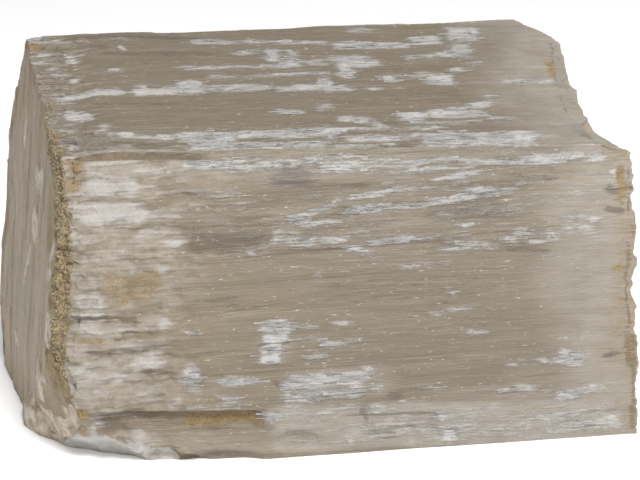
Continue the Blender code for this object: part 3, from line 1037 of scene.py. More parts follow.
    ),
    (Mark.BRUISE, LEFT, AS_LAID): (
        Stroke((52, 398), (58, 413), 7, 1.2),
        Stroke((44, 412), (60, 422), 11.2, 1.2),
        Stroke((44, 424), (52, 436), 19.6, 1.2),
        Stroke((34, 424), (60, 434), 14, 1.4),
        Stroke((24, 408), (40, 424), 8, 0.94),
        Stroke((60, 404), (66, 420), 9, 0.94),
        Stroke((34, 422), (44, 444), 10, 1.4),
        Stroke((33, 412), (40, 428), 8, 1.1),
        Stroke((38, 172), (37, 194), 6, 1.5),
        Stroke((40, 168), (40, 182), 4, 1.2),
        Stroke((35, 212), (32, 238), 6, 1.5),
        Stroke((38, 236), (35, 246), 3, 1.1),
        Stroke((30, 244), (22, 284), 3, 0.94),
        Stroke((50, 240), (46, 262), 3, 1.2),
        Stroke((47, 268), (44, 286), 3, 1.1),
        Stroke((47, 314), (45, 344), 5.5, 1.5),
        Stroke((38, 368), (35, 394), 6, 1.5),
        Stroke((43, 372), (41, 384), 3, 1.1),
        Stroke((20, 380), (24, 394), 4, 1.1),
        Stroke((14, 330), (15, 352), 4, 0.94),
        Stroke((27, 108), (22, 150), 3, 0.81),
        Stroke((44, 56), (47, 100), 4.5, 1.1),
    ),
    # Partly darker streaks of the end, partly painted shade: the wide strokes about its middle darken an end
    # that gets less light than the front.
    (Mark.SHADE, LEFT, AS_LAID): (
        Stroke((51, 158), (44, 190), 4, 1),
        Stroke((55, 348), (54, 360), 5, 0.7),
        Stroke((30, 385), (33, 395), 6, 0.6),
        Stroke((26, 48), (18, 80), 8, 0.4),
        Stroke((42, 230), (36, 300), 9, 0.3),
        Stroke((44, 196), (42, 216), 4, 0.8),
        Stroke((26, 250), (24, 276), 5, 0.6),
        Stroke((52, 352), (50, 366), 5, 0.8),
        Stroke((12, 250), (9, 300), 5, 0.6),
        Stroke((14, 262), (18, 330), 16, 0.5),
        Stroke((19, 250), (21, 330), 20, 0.5),
    ),
    (Mark.OCHRE, LEFT, AS_LAID): (
        Stroke((31, 40), (36, 44), 8, 0.9),
        Stroke((6, 60), (3, 80), 8, 0.3),
        Stroke((8, 300), (12, 345), 9, 0.45),
        Stroke((26, 405), (32, 418), 6, 0.5),
        Stroke((5, 310), (6, 344), 7, 0.8),
    ),
    (Mark.SEAM, LEFT, AS_LAID): (
        Stroke((44, 112), (54, 160), 10, 0.75),
        Stroke((50, 140), (58, 180), 10, 0.9),
        Stroke((45, 78), (52, 118), 7, 0.7),
    ),
    (Mark.BRUISE, HEEL, AS_LAID): (
        Stroke((28, 412), (52, 436), 13, 1),
        Stroke((44, 436), (62, 442), 9, 1),
        Stroke((24, 392), (34, 410), 6, 0.8),
    ),
    (Mark.OCHRE, HEEL, AS_LAID): (
        Stroke((46, 420), (58, 428), 6, 0.5),
    ),
    (Mark.BRUISE, FOOT, AS_LAID): (
        Stroke((130, 440), (146, 446), 9, 0.6),
        Stroke((70, 432), (96, 440), 8, 0.5),
        Stroke((128, 446), (146, 452), 6, 0.5),
    ),
    # Painted shade in the creases between the foot's lumps.
    (Mark.SHADE, FOOT, AS_LAID): (
        Stroke((96, 440), (100, 452), 8, 0.8),
        Stroke((116, 442), (120, 452), 7, 0.9),
        Stroke((108, 436), (126, 446), 5, 0.7),
        Stroke((76, 436), (92, 440), 4, 0.6),
    ),
    (Mark.OCHRE, FOOT, AS_LAID): (
        Stroke((72, 424), (92, 428), 9, 0.8),
    ),
}


def laid_strokes() -> dict[tuple[Mark, Side], list[Stroke]]:
    """All strokes in millimetres, by the kind of mark and the side."""
    laid: dict[tuple[Mark, Side], list[Stroke]] = {}
    for (mark, sheet, spread), strokes in DRAWN.items():
        laid.setdefault((mark, sheet.side), []).extend(stroke.laid_on(sheet, spread) for stroke in strokes)
    return laid


STROKES = laid_strokes()


def bitten(place: Vector, side: Side) -> float:
    """How deep a side's bites are at this place."""
    return sum(hollow.at(place) for hollow in BITES[side])


def front_depth(place: Vector, bruise: float) -> float:
    """Fibre bundles across the front, crumbled near its left end, with its ledges.

    Args:
        place: The place on the flat face.
        bruise: How bruised it is, from 0 to 1.

    Returns:
        A depth in metres.
    """
    flaky = ramp(place.x, *FLAKY_FROM_X)
    bundles = (1 - flaky) * FRONT_CALM.at(place.x, place.z) + flaky * FRONT_FLAKY.at(place.x, place.z)
    ledges = sum(ledge.at(place) for ledge in LEDGES + FINE_LEDGES)
    flaky *= 1 - under_brow(place)
    rough = max(bruise, FLAKY_ROUGH * flaky, SHOULDER_ROUGH * ramp(place.z, *SHOULDER_FROM_Z))
    fine = FRONT_FINE.at(place.x, place.z) + split(place.x, place.z, rough)
    return bundles + fine + ledges + bitten(place, Side.FRONT) + flaky * crumbled(place)


def under_brow(place: Vector) -> float:
    """How far a place lies in the clean strip under the longest brow, from 0 to 1."""
    return LEDGES[0].at(place) / LEDGES[0].set_back


def upper_depth(place: Vector, bruise: float) -> float:
    """Long shallow steps on the upper face, notched like a comb at the left end.

    Args:
        place: The place on the flat face.
        bruise: How bruised it is, from 0 to 1.

    Returns:
        A depth in metres.
    """
    comb = ramp(place.x, *COMB_FROM_X) * UPPER_COMB.at(place.x, place.y)
    teeth = ramp(place.x, *TEETH_FROM_X) * ramp(place.y, *TEETH_TO_Y) * TEETH.at(place.x, place.y)
    bundles = UPPER_STEPS.at(place.x, place.y) + UPPER_FINE.at(place.x, place.y)
    splits = split(place.x, place.y, bruise) * off_crest(place)
    return bundles + comb + teeth + splits + bitten(place, Side.UPPER)


def off_crest(place: Vector) -> float:
    """How much of the fine relief a place has: little along the crest, all of it away from it."""
    return CREST_ROUGH + (1 - CREST_ROUGH) * ramp(abs(place.y - CREST_Y), *CREST_CALM)


def back_depth(place: Vector, bruise: float) -> float:
    """Long splintery steps behind, deeper than those in front.

    Args:
        place: The place on the flat face.
        bruise: How bruised it is, from 0 to 1; not used here.

    Returns:
        A depth in metres.
    """
    around = place.z + BACK_WRAP * place.y
    splits = BACK_SPLITS.at(place.x, around) - BACK_SPLITS.depth / 2 + split(place.x, around, 1)
    return BACK_STEPS.at(place.x, around) + BACK_FINE.at(place.x, around) + splits * off_crest(place)


def left_end_depth(place: Vector, bruise: float) -> float:
    """A silky cleaved end with slanting ridges.

    Args:
        place: The place on the flat face.
        bruise: How bruised it is, from 0 to 1; not used here.

    Returns:
        A depth in metres.
    """
    across = place.y + LEFT_RIDGE_SLANT * place.z
    silk = END_SILK.at(place.z, across) - END_SILK.depth / 2
    return LEFT_RIDGES.at(place.z, across) + silk + bitten(place, Side.LEFT_END)


def seam_depth(place: Vector, bruise: float) -> float:
    """The crusted seam, eaten into, between the left end and the front.

    Args:
        place: The place on the flat face.
        bruise: How bruised it is, from 0 to 1; not used here.

    Returns:
        A depth in metres.
    """
    return SEAM_LUMPS.at(place.z, place.y) + SEAM_DEPTH * noise.noise(place / SEAM_SPAN)


def right_end_depth(place: Vector, bruise: float) -> float:
    """Broken fibre ends, bitten into along the rim.

    Args:
        place: The place on the flat face.
        bruise: How bruised it is, from 0 to 1; not used here.

    Returns:
        A depth in metres.
    """
    ragged = RIGHT_RAGGED.at(place.y, place.z) + BROKEN_ENDS.at(place.y, place.z) - BROKEN_ENDS.depth / 2
    return ragged + bitten(place, Side.RIGHT_END) + RIGHT_CRUMBLE * crumbled(place)


def foot_depth(place: Vector, bruise: float) -> float:
    """Rounded lumps where the lower left corner broke off.

    Args:
        place: The place on the flat face.
        bruise: How bruised it is, from 0 to 1; not used here.

    Returns:
        A depth in metres.
    """
    lumps = FOOT_LUMPS * abs(noise.noise(place / FOOT_LUMP_SPAN))
    return lumps + FOOT_CRUMBLE * crumbled(place / FOOT_CRUMBLE_SPREAD)


def split(along: float, across: float, rough: float) -> float:
    """Single fibres and split ones: nearly closed in clear stone, open and snapped in rough stone.

    Args:
        along: The place along the fibres.
        across: The place across them.
        rough: How rough the stone is, from 0 to 1.

    Returns:
        A depth in metres.
    """
    open_share = CALM_SHARE + (1 - CALM_SHARE) * rough
    splits = BROAD_SPLITS.at(along, across) + FINE_SPLITS.at(along, across)
    mean = (BROAD_SPLITS.depth + FINE_SPLITS.depth + FIBRES.depth) / 2
    return FIBRES.at(along, across) + open_share * (splits - mean)


def crumbled(place: Vector) -> float:
    """Round lumps of broken stone with creases between them, as a depth about their mean."""
    coarse = noise.voronoi(place / CRUMBLE_SPAN)[0][0]
    fine = noise.voronoi(place / (CRUMBLE_SPAN * CRUMBLE_FINE))[0][0]
    return CRUMBLE_DEPTH * (coarse + CRUMBLE_FINE * fine - CRUMBLE_MEAN)


DEPTHS: dict[Side, Callable[[Vector, float], float]] = {
    Side.FRONT: front_depth,
    Side.UPPER: upper_depth,
    Side.BACK: back_depth,
    Side.LEFT_END: left_end_depth,
    Side.SEAM: seam_depth,
    Side.RIGHT_END: right_end_depth,
    Side.FOOT: foot_depth,
}


def side_of(place: Vector) -> Side:
    """Which side of the block a place on its flat faces belongs to."""
    return min(Side, key=lambda side: min(face.distance(place) for face in FACES[side]))


def drawn_at(place: Vector, side: Side) -> tuple[float, float]:
    """A place's coordinates on its side, as strokes are drawn, pushed about a little.

    Args:
        place: The place in metres.
        side: The side that it is on.

    Returns:
        The coordinates along and across the side, in millimetres.
    """
    along, across = (place[axis] / MM for axis in AXES.get(side, UPRIGHT))
    spot = Vector((along / STRAY_SPAN.x, across / STRAY_SPAN.y, STRAY_SPAN.z))
    stray = noise.noise_vector(spot)
    return along + STRAY_ALONG * stray.x, across + STRAY_ACROSS * stray.y


def mark_at(mark: Mark, side: Side, along: float, across: float) -> float:
    """How strong one kind of mark is at a place.

    Args:
        mark: The kind of mark.
        side: The side that the place is on.
        along: The place's first coordinate there, in millimetres.
        across: Its second coordinate.

    Returns:
        The strongest stroke's strength, or the faint mark that the side has all over.
    """
    strongest = EVERYWHERE.get((mark, side), 0.0)
    for zone in ZONES.get((mark, side), ()):
        drift = ZONE_DRIFT * noise.noise(Vector((along, across, 0)) / ZONE_SPAN)
        strongest = max(strongest, zone.strength * ramp(along + drift, zone.start, zone.full))
    for stroke in STROKES.get((mark, side), ()):
        strongest = max(strongest, stroke.at(along, across))
    return strongest


@dataclass
class CrystalBlock:
    """The whole crystal: cleaved, scored into a net, given its relief and its marks.

    Args:
        across_step: How wide the net's cells are on the front and upper faces.
        back_step: How wide they are behind.
        end_step: How large they are on the two ends.
        merge: How near two lines of the net may be.
        halvings: How often each cell is halved both ways.
        crease: The angle past which an edge stays sharp.
    """

    across_step: float = 1.45 * MM
    back_step: float = 3.0 * MM
    end_step: float = 3.3 * MM
    merge: float = 0.3 * MM
    halvings: int = 2
    crease: float = math.radians(38)
    piece: bpy.types.Object | None = field(default=None, init=False)

    def cleave(self, mesh: bmesh.types.BMesh) -> None:
        """Cut a block along each cleaved face in turn and close the cuts.

        Args:
            mesh: An empty mesh to build in.
        """
        bmesh.ops.create_cube(mesh, size=1)
        bmesh.ops.scale(mesh, vec=(LENGTH, DEPTH, HEIGHT), verts=mesh.verts)
        bmesh.ops.translate(mesh, vec=(0, 0, HEIGHT / 2), verts=mesh.verts)
        for face in CLEAVED:
            everything = [*mesh.verts, *mesh.edges, *mesh.faces]
            cut = bmesh.ops.bisect_plane(
                mesh, geom=everything, plane_co=face.point, plane_no=face.outward, clear_outer=True
            )
            rim = [part for part in cut["geom_cut"] if isinstance(part, bmesh.types.BMEdge)]
            bmesh.ops.holes_fill(mesh, edges=rim)
        mesh.normal_update()

    def score(
        self, mesh: bmesh.types.BMesh, faces: Iterable[bmesh.types.BMFace], place: Vector, across: Vector
    ) -> None:
        """Add mesh lines where a plane crosses the given faces, and cut nothing away.

        Args:
            mesh: The mesh.
            faces: The faces that get lines.
            place: A point on the plane.
            across: The plane's direction.
        """
        faces = list(faces)
        edges = {edge for face in faces for edge in face.edges}
        corners = {corner for face in faces for corner in face.verts}
        bmesh.ops.bisect_plane(
            mesh, geom=[*corners, *edges, *faces], dist=self.merge, plane_co=place, plane_no=across
        )

    def lay_net(self, mesh: bmesh.types.BMesh) -> None:
        """Lay a net of lines over the faces: across the fibres, along them, and over the ends.

        Args:
            mesh: The cleaved block.
        """
        along_x, along_y, along_z = Vector((1, 0, 0)), Vector((0, 1, 0)), Vector((0, 0, 1))
        for start, end, step in FIBRE_STEPS:
            for x in (start, *evenly(start, end, step)):
                long_faces = (face for face in mesh.faces if abs(face.normal.x) < END_ON)
                self.score(mesh, long_faces, along_x * x, along_x)
        for z in evenly(0, HEIGHT, self.across_step):
            front = (face for face in mesh.faces if face.normal.y < -SQUARE_ON)
            self.score(mesh, front, along_z * z, along_z)
        for z in evenly(0, HEIGHT, self.back_step):
            self.score(mesh, (face for face in mesh.faces if face.normal.y > SQUARE_ON), along_z * z, along_z)
        for y in evenly(FRONT_Y, CREST_Y, self.across_step):
            self.score(mesh, (face for face in mesh.faces if face.normal.z > SQUARE_ON), along_y * y, along_y)
        for y in evenly(CREST_Y, BACK_Y, self.back_step):
            slope = (face for face in mesh.faces if SLOPING < face.normal.z < SQUARE_ON)
            self.score(mesh, slope, along_y * y, along_y)
        for y in evenly(FRONT_Y, BACK_Y, self.end_step):
            ends = (face for face in mesh.faces if abs(face.normal.x) > END_ON)
            self.score(mesh, ends, along_y * y, along_y)
        for z in evenly(0, HEIGHT, self.end_step):
            ends = (
                face
                for face in mesh.faces
                if abs(face.normal.x) > END_ON or -face.normal.x - face.normal.y > ASKEW
            )
            self.score(mesh, ends, along_z * z, along_z)

    def score_brow(self, mesh: bmesh.types.BMesh, ledge: Ledge) -> None:
        """Lay two lines along a brow, so that its edge is crisp.

        Args:
            mesh: The net.
            ledge: The ledge under the brow.
        """
        along = (ledge.right - ledge.left).normalized()
        across = Vector((-along.z, 0, along.x))
        for rise in (ledge.brow, -ledge.brow):
            near = (
                face
                for face in mesh.faces
                if face.normal.y < -SQUARE_ON and ledge.left.x < face.calc_center_median().x < ledge.right.x
            )
            self.score(mesh, near, ledge.left + across * rise, across)

    def halve(self, mesh: bmesh.types.BMesh) -> bmesh.types.BMesh:
        """Split every cell of the net into quads, again and again, without rounding anything.

        Args:
            mesh: The net, which is freed.

        Returns:
            A finer net of quads on the same flat faces.
        """
        data = bpy.data.meshes.new("net")
        mesh.to_mesh(data)
        mesh.free()
        coarse = bpy.data.objects.new("net", data)
        bpy.context.scene.collection.objects.link(coarse)
        split = coarse.modifiers.new("split", "SUBSURF")
        split.subdivision_type = "SIMPLE"
        split.levels = split.render_levels = self.halvings
        finer = bmesh.new()
        finer.from_object(coarse, bpy.context.evaluated_depsgraph_get())
        bpy.data.objects.remove(coarse)
        bpy.data.meshes.remove(data)
        return finer

    def draw(self, mesh: bmesh.types.BMesh) -> None:
        """Write each kind of mark into an attribute of the mesh, and where the ends are.

        Args:
            mesh: The fine net, still flat.
        """
        layers = {mark: mesh.verts.layers.float.new(mark.value) for mark in Mark}
        ends = mesh.verts.layers.float.new("ends")
        for corner in mesh.verts:
            side = side_of(corner.co)
            along, across = drawn_at(corner.co, side)
            for mark, layer in layers.items():
                corner[layer] = mark_at(mark, side, along, across)
            corner[layers[Mark.BRUISE]] += raised(corner.co, side)
            corner[layers[Mark.CRUMBLE]] = crumble_at(corner.co, side)
            corner[ends] = float(side in (Side.LEFT_END, Side.RIGHT_END))

    def carve(self, mesh: bmesh.types.BMesh) -> None:
        """Move every point of the flat net inwards to its place in the relief.

        Args:
            mesh: The fine net with its marks.
        """
        bruise = mesh.verts.layers.float[Mark.BRUISE.value]
        low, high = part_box(NODE)
        for corner in mesh.verts:
            place = corner.co.copy()
            moved = place.copy()
            for side, depth_at in DEPTHS.items():
                nearest = min(FACES[side], key=lambda face: face.distance(place))
                distance = nearest.distance(place)
                if distance > RELIEF_FARTHEST:
                    continue
                depth = depth_at(place, min(max(corner[bruise], 0.0), 1.0))
                belongs = 1 - ramp(distance, 0, RELIEF_REACH + 2 * abs(depth))
                moved -= nearest.outward.normalized() * depth * belongs
            if place.z < RESTING_BAND:
                moved.z = 0
            for axis in range(3):
                moved[axis] = min(max(moved[axis], low[axis]), high[axis])
            corner.co = moved

    def build(self, material: bpy.types.Material) -> bpy.types.Object:
        """Make the block and dress it.

        Args:
            material: Its finish.

        Returns:
            The finished piece.
        """
        mesh = bmesh.new()
        self.cleave(mesh)
        self.lay_net(mesh)
        for ledge in LEDGES + FINE_LEDGES:
            self.score_brow(mesh, ledge)
        mesh = self.halve(mesh)
        self.draw(mesh)
        self.carve(mesh)
        bmesh.ops.recalc_face_normals(mesh, faces=mesh.faces)
        for face in mesh.faces:
            face.smooth = True
        self.piece = finished("crystal_block", mesh, material)
        self.piece.data.set_sharp_from_angle(angle=self.crease)
        return self.piece


def evenly(start: float, end: float, step: float) -> list[float]:
    """Places from start to end, both left out, about a step apart.

    Args:
        start: The first end of the stretch.
        end: Its other end.
        step: The distance wanted between places.

    Returns:
        The places in order.
    """
    count = round((end - start) / step)
    return [start + (end - start) * index / count for index in range(1, count)]


def raised(place: Vector, side: Side) -> float:
    """How much more bruised a splinter is than those about it: more where it stands out.

    Args:
        place: The place on the flat faces.
        side: The side that it is on.

    Returns:
        What is added to the bruise there, less than nothing on a splinter that lies deep.
    """
    if side not in (Side.FRONT, Side.UPPER, Side.BACK):
        return 0.0
    across = {Side.UPPER: place.y, Side.BACK: place.z + BACK_WRAP * place.y}.get(side, place.z)
    level = FINE_SPLITS.at(place.x, across) / FINE_SPLITS.depth
    shoulder = ramp(place.z, *SHOULDER_FROM_Z) if side is Side.FRONT else 0.0
    return RAISED_SHARE * (1 + SHOULDER_RAISED * shoulder) * (0.5 - level) + SHOULDER_BRUISE * shoulder


def crumble_at(place: Vector, side: Side) -> float:
    """How crumbled the surface is at a place.

    Args:
        place: The place on the flat faces.
        side: The side that it is on.

    Returns:
        A share from 0, smooth, to 1, broken all over.
    """
    if side in (Side.FOOT, Side.SEAM):
        return 1.0
    if side is Side.RIGHT_END:
        return RIGHT_CRUMBLED
    if side is Side.FRONT:
        ragged = place.x + FLAKY_DRIFT * noise.noise(place / FLAKY_SPAN)
        return ramp(ragged, *FLAKY_FROM_X) * (1 - under_brow(place))
    return 0.0


def finished(name: str, mesh: bmesh.types.BMesh, material: bpy.types.Material) -> bpy.types.Object:
    """Turn a mesh into a piece that rides on the crystal's body and stands for its solid.

    Args:
        name: The piece's name.
        mesh: Its mesh, which is freed.
        material: Its finish.

    Returns:
        The piece.
    """
    data = bpy.data.meshes.new(name)
    mesh.to_mesh(data)
    mesh.free()
    data.materials.append(material)
    piece = bpy.data.objects.new(name, data)
    bpy.context.scene.collection.objects.link(piece)
    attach(piece, BODY)
    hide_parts(NODE)
    return piece


@dataclass(frozen=True)
class Spot:
    """A place on the carved block that a small piece sits on.

    Args:
        place: Where it is.
        outward: Which way the surface faces there.
    """

    place: Vector
    outward: Vector

    def frame(self, along: Vector, turn: float) -> tuple[Vector, Vector, Vector]:
        """Three directions for a piece that lies flat here.

        Args:
            along: Which way it runs, more or less.
            turn: How far it is turned off that way, in radians.

        Returns:
            The directions along it, across it and outwards.
        """
        flat = (along - self.outward * along.dot(self.outward)).normalized()
        across = self.outward.cross(flat)
        run = flat * math.cos(turn) + across * math.sin(turn)
        return run, self.outward.cross(run), self.outward


def spots(
    block: bpy.types.Object,
    mark: Mark,
    least: float,
    count: int,
    chance: random.Random,
    stretch: tuple[float, float] = (-LENGTH, LENGTH),
) -> list[Spot]:
    """Choose places on the block where a mark is strong, more of them where it is stronger.

    Args:
        block: The carved block.
        mark: The mark.
        least: How strong it has to be.
        count: How many places are wanted.
        chance: Where the choice comes from.
        stretch: Between which places along the fibres.

    Returns:
        The places.
    """
    strengths = [value.value for value in block.data.attributes[mark.value].data]
    within = [stretch[0] < corner.co.x < stretch[1] for corner in block.data.vertices]
    weights = [
        strength if strength > least and inside else 0.0 for strength, inside in zip(strengths, within)
    ]
    corners = chance.choices(block.data.vertices, weights, k=count)
    return [Spot(corner.co.copy(), corner.normal.copy()) for corner in corners]


def placed(run: Vector, across: Vector, outward: Vector, place: Vector) -> Matrix:
    """The matrix that takes a unit shape to a place, its Z axis along the fibres.

    Args:
        run: Where its Z axis goes, as long as the piece.
        across: Where its X axis goes, as wide as the piece.
        outward: Where its Y axis goes, as thick as the piece.
        place: Where its middle goes.

    Returns:
        The matrix.
    """
    matrix = Matrix((across, outward, run)).transposed().to_4x4()
    matrix.translation = place
    return matrix


@dataclass
class Slivers:
    """Thin split fibres that lie on the bruised stone, most of their thickness sunk into it.

    Args:
        count: How many there are.
        least: How bruised the stone has to be.
        lengths: The shortest and the longest.
        widths: The narrowest and the widest.
        flatness: Their thickness as a share of their width.
        taper: The width of the thin end as a share of the wide end.
        turn: How far one may be turned off the fibres, in radians.
        stretch: Between which places along the fibres they lie.
        whiteness: How bruised the least and the most bruised one is.
        seed: Where the chance starts.
    """

    count: int = 1500
    least: float = 0.55
    lengths: tuple[float, float] = (1.4 * MM, 5.5 * MM)
    widths: tuple[float, float] = (0.25 * MM, 0.6 * MM)
    flatness: float = 0.5
    taper: float = 0.25
    turn: float = 0.05
    stretch: tuple[float, float] = (-34 * MM, 64 * MM)
    whiteness: tuple[float, float] = (0.5, 1.2)
    seed: int = 5
    piece: bpy.types.Object | None = field(default=None, init=False)

    def build(self, block: bpy.types.Object, material: bpy.types.Material) -> bpy.types.Object:
        """Lay the slivers on the block.

        Args:
            block: The carved block.
            material: Their finish.

        Returns:
            The joined slivers.
        """
        chance = random.Random(self.seed)
        mesh = bmesh.new()
        bruise = mesh.verts.layers.float.new(Mark.BRUISE.value)
        for spot in spots(block, Mark.BRUISE, self.least, self.count, chance, self.stretch):
            run, across, outward = spot.frame(Vector((1, 0, 0)), chance.uniform(-self.turn, self.turn))
            length, width = chance.uniform(*self.lengths), chance.uniform(*self.widths)
            way = chance.choice((-1, 1))
            thickness = outward * width * self.flatness
            matrix = placed(run * length * way, across * width * way, thickness, spot.place)
            made = bmesh.ops.create_cone(
                mesh, cap_ends=True, segments=5, radius1=0.5, radius2=0.5 * self.taper, depth=1, matrix=matrix
            )
            white = chance.uniform(*self.whiteness)
            for corner in made["verts"]:
                corner[bruise] = white
        inside_box(mesh)
        self.piece = finished("split_slivers", mesh, material)
        return self.piece


@dataclass
class SeamGrit:
    """Brown grains stuck in the seam along the front left edge.

    Args:
        count: How many there are.
        least: How strong the seam has to be.
        sizes: The smallest and the largest radius.
        squash: How much shorter one may be in any direction.
        seed: Where the chance starts.
    """

    count: int = 1300
    least: float = 0.45
    sizes: tuple[float, float] = (0.16 * MM, 0.5 * MM)
    squash: float = 0.6
    seed: int = 9
    piece: bpy.types.Object | None = field(default=None, init=False)

    def build(self, block: bpy.types.Object, material: bpy.types.Material) -> bpy.types.Object:
        """Stick the grains in the seam.

        Args:
            block: The carved block.
            material: Their finish.

        Returns:
            The joined grains.
        """
        chance = random.Random(self.seed)
        mesh = bmesh.new()
        seam = mesh.verts.layers.float.new(Mark.SEAM.value)
        for spot in spots(block, Mark.SEAM, self.least, self.count, chance):
            run, across, outward = spot.frame(Vector((0, 0, 1)), chance.uniform(-math.pi, math.pi))
            size = chance.uniform(*self.sizes)
            spans = [size * chance.uniform(self.squash, 1) for _ in range(3)]
            matrix = placed(run * spans[0], across * spans[1], outward * spans[2], spot.place)
            made = bmesh.ops.create_icosphere(mesh, subdivisions=1, radius=1, matrix=matrix)
            for corner in made["verts"]:
                corner[seam] = 1.0
        inside_box(mesh)
        self.piece = finished("seam_grit", mesh, material)
        return self.piece


def inside_box(mesh: bmesh.types.BMesh) -> None:
    """Keep a mesh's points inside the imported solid's box."""
    low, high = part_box(NODE)
    for corner in mesh.verts:
        corner.co = [min(max(part, least), most) for part, least, most in zip(corner.co, low, high)]
    bmesh.ops.recalc_face_normals(mesh, faces=mesh.faces)


class Network:
    """A node tree in the making, with one method for each kind of node used here."""

    def __init__(self, tree: bpy.types.NodeTree) -> None:
        """Work on this tree."""
        self.tree = tree

    def put(self, kind: str, **settings: object) -> bpy.types.Node:
        """Add a node.

        Args:
            kind: The node's type.
            settings: Properties to set on it.

        Returns:
            The node.
        """
        node = self.tree.nodes.new(kind)
        for name, value in settings.items():
            setattr(node, name, value)
        return node

    def feed(self, socket: bpy.types.NodeSocket, value: object) -> None:
        """Link a socket to another one, or set its plain value.

        Args:
            socket: The input.
            value: An output socket, a number, a vector or a colour.
        """
        if isinstance(value, bpy.types.NodeSocket):
            self.tree.links.new(value, socket)
        elif isinstance(value, tuple) and len(value) == 3 and socket.type == "RGBA":
            socket.default_value = (*value, 1.0)
        else:
            socket.default_value = value

    def math(self, operation: str, first: object, second: object = 0.0) -> bpy.types.NodeSocket:
        """One step of arithmetic.

        Args:
            operation: The Math node's operation.
            first: Its first value.
            second: Its second value.

        Returns:
            The result.
        """
        node = self.put("ShaderNodeMath", operation=operation)
        self.feed(node.inputs[0], first)
        self.feed(node.inputs[1], second)
        return node.outputs[0]

    def ease(self, value: object, low: object, high: object) -> bpy.types.NodeSocket:
        """A smooth step from 0 at low to 1 at high.

        Args:
            value: What is mapped.
            low: Where the step begins.
            high: Where it ends.

        Returns:
            The mapped value.
        """
        node = self.put("ShaderNodeMapRange", interpolation_type="SMOOTHSTEP")
        self.feed(node.inputs["Value"], value)
        self.feed(node.inputs["From Min"], low)
        self.feed(node.inputs["From Max"], high)
        return node.outputs["Result"]

    def mix(self, share: object, first: object, second: object) -> bpy.types.NodeSocket:
        """Blend two colours.

        Args:
            share: How much of the second one.
            first: The first colour.
            second: The second colour.

        Returns:
            The blend.
        """
        node = self.put("ShaderNodeMix", data_type="RGBA", clamp_factor=True)
        self.feed(node.inputs["Factor"], share)
        self.feed(node.inputs[6], first)
        self.feed(node.inputs[7], second)
        return node.outputs[2]

    def blend(self, share: object, first: object, second: object) -> bpy.types.NodeSocket:
        """Blend two values.

        Args:
            share: How much of the second one.
            first: The first value.
            second: The second value.

        Returns:
            The blend.
        """
        node = self.put("ShaderNodeMix", data_type="FLOAT", clamp_factor=True)
        self.feed(node.inputs["Factor"], share)
        self.feed(node.inputs[2], first)
        self.feed(node.inputs[3], second)
        return node.outputs[0]

    def attribute(self, name: str) -> bpy.types.NodeSocket:
        """The value of one of the mesh's attributes."""
        return self.put("ShaderNodeAttribute", attribute_name=name).outputs["Fac"]

    def group(self, tree: bpy.types.NodeTree, **values: object) -> bpy.types.NodeSocket:
        """Place a node group.

        Args:
            tree: The group.
            values: Its inputs by name.

        Returns:
            Its first output.
        """
        node = self.put("ShaderNodeGroup", node_tree=tree)
        for name, value in values.items():
            self.feed(node.inputs[name], value)
        return node.outputs[0]


def new_group(
    name: str, inputs: dict[str, tuple[str, float]]
) -> tuple[Network, bpy.types.Node, bpy.types.Node]:
    """Start a shader group that puts out one value.

    Args:
        name: Its name.
        inputs: The type and plain value of each input.

    Returns:
        The network, the group's input node and its output node.
    """
    tree = bpy.data.node_groups.new(name, "ShaderNodeTree")
    for label, (kind, plain) in inputs.items():
        socket = tree.interface.new_socket(name=label, in_out="INPUT", socket_type=kind)
        if kind == "NodeSocketFloat":
            socket.default_value = plain
    tree.interface.new_socket(name="Value", in_out="OUTPUT", socket_type="NodeSocketFloat")
    net = Network(tree)
    return net, net.put("NodeGroupInput"), net.put("NodeGroupOutput")


def fibre_grain() -> bpy.types.NodeTree:
    """A group: noise drawn out along the fibres.

    Returns:
        The group, with the place in millimetres, the length and width of a streak, and a seed.
    """
    net, given, result = new_group(
        "fibre_grain",
        {
            "Place": ("NodeSocketVector", 0),
            "Length": ("NodeSocketFloat", 10),
            "Width": ("NodeSocketFloat", 1),
            "Seed": ("NodeSocketFloat", 0),
            "Detail": ("NodeSocketFloat", 2),
        },
    )
    size = net.put("ShaderNodeCombineXYZ")
    net.feed(size.inputs[0], given.outputs["Length"])
    net.feed(size.inputs[1], given.outputs["Width"])
    net.feed(size.inputs[2], given.outputs["Width"])
    scaled = net.put("ShaderNodeVectorMath", operation="DIVIDE")
    net.feed(scaled.inputs[0], given.outputs["Place"])
    net.feed(scaled.inputs[1], size.outputs[0])
    shift = net.put("ShaderNodeVectorMath", operation="ADD")
    net.feed(shift.inputs[0], scaled.outputs[0])
    net.feed(shift.inputs[1], given.outputs["Seed"])
    cloud = net.put("ShaderNodeTexNoise")
    net.feed(cloud.inputs["Vector"], shift.outputs[0])
    net.feed(cloud.inputs["Scale"], 1.0)
    net.feed(cloud.inputs["Detail"], given.outputs["Detail"])
    net.feed(cloud.inputs["Roughness"], 0.6)
    net.feed(result.inputs[0], cloud.outputs["Fac"])
    return net.tree


def ragged_patch() -> bpy.types.NodeTree:
    """A group: a mark's soft patch broken up by grain, so that its ends are ragged.

    Returns:
        The group, with the mark, the grain, how ragged the edge is and how soft.
    """
    net, given, result = new_group(
        "ragged_patch",
        {
            "Mark": ("NodeSocketFloat", 0),
            "Grain": ("NodeSocketFloat", 0.5),
            "Ragged": ("NodeSocketFloat", 1.5),
            "Soft": ("NodeSocketFloat", 0.1),
        },
    )
    swing = net.math("MULTIPLY", net.math("SUBTRACT", given.outputs["Grain"], 0.5), given.outputs["Ragged"])
    swing = net.math("MULTIPLY", swing, net.ease(given.outputs["Mark"], 0.0, 0.3))
    level = net.math("ADD", given.outputs["Mark"], swing)
    low = net.math("SUBTRACT", 0.5, given.outputs["Soft"])
    high = net.math("ADD", 0.5, given.outputs["Soft"])
    net.feed(result.inputs[0], net.ease(level, low, high))
    return net.tree


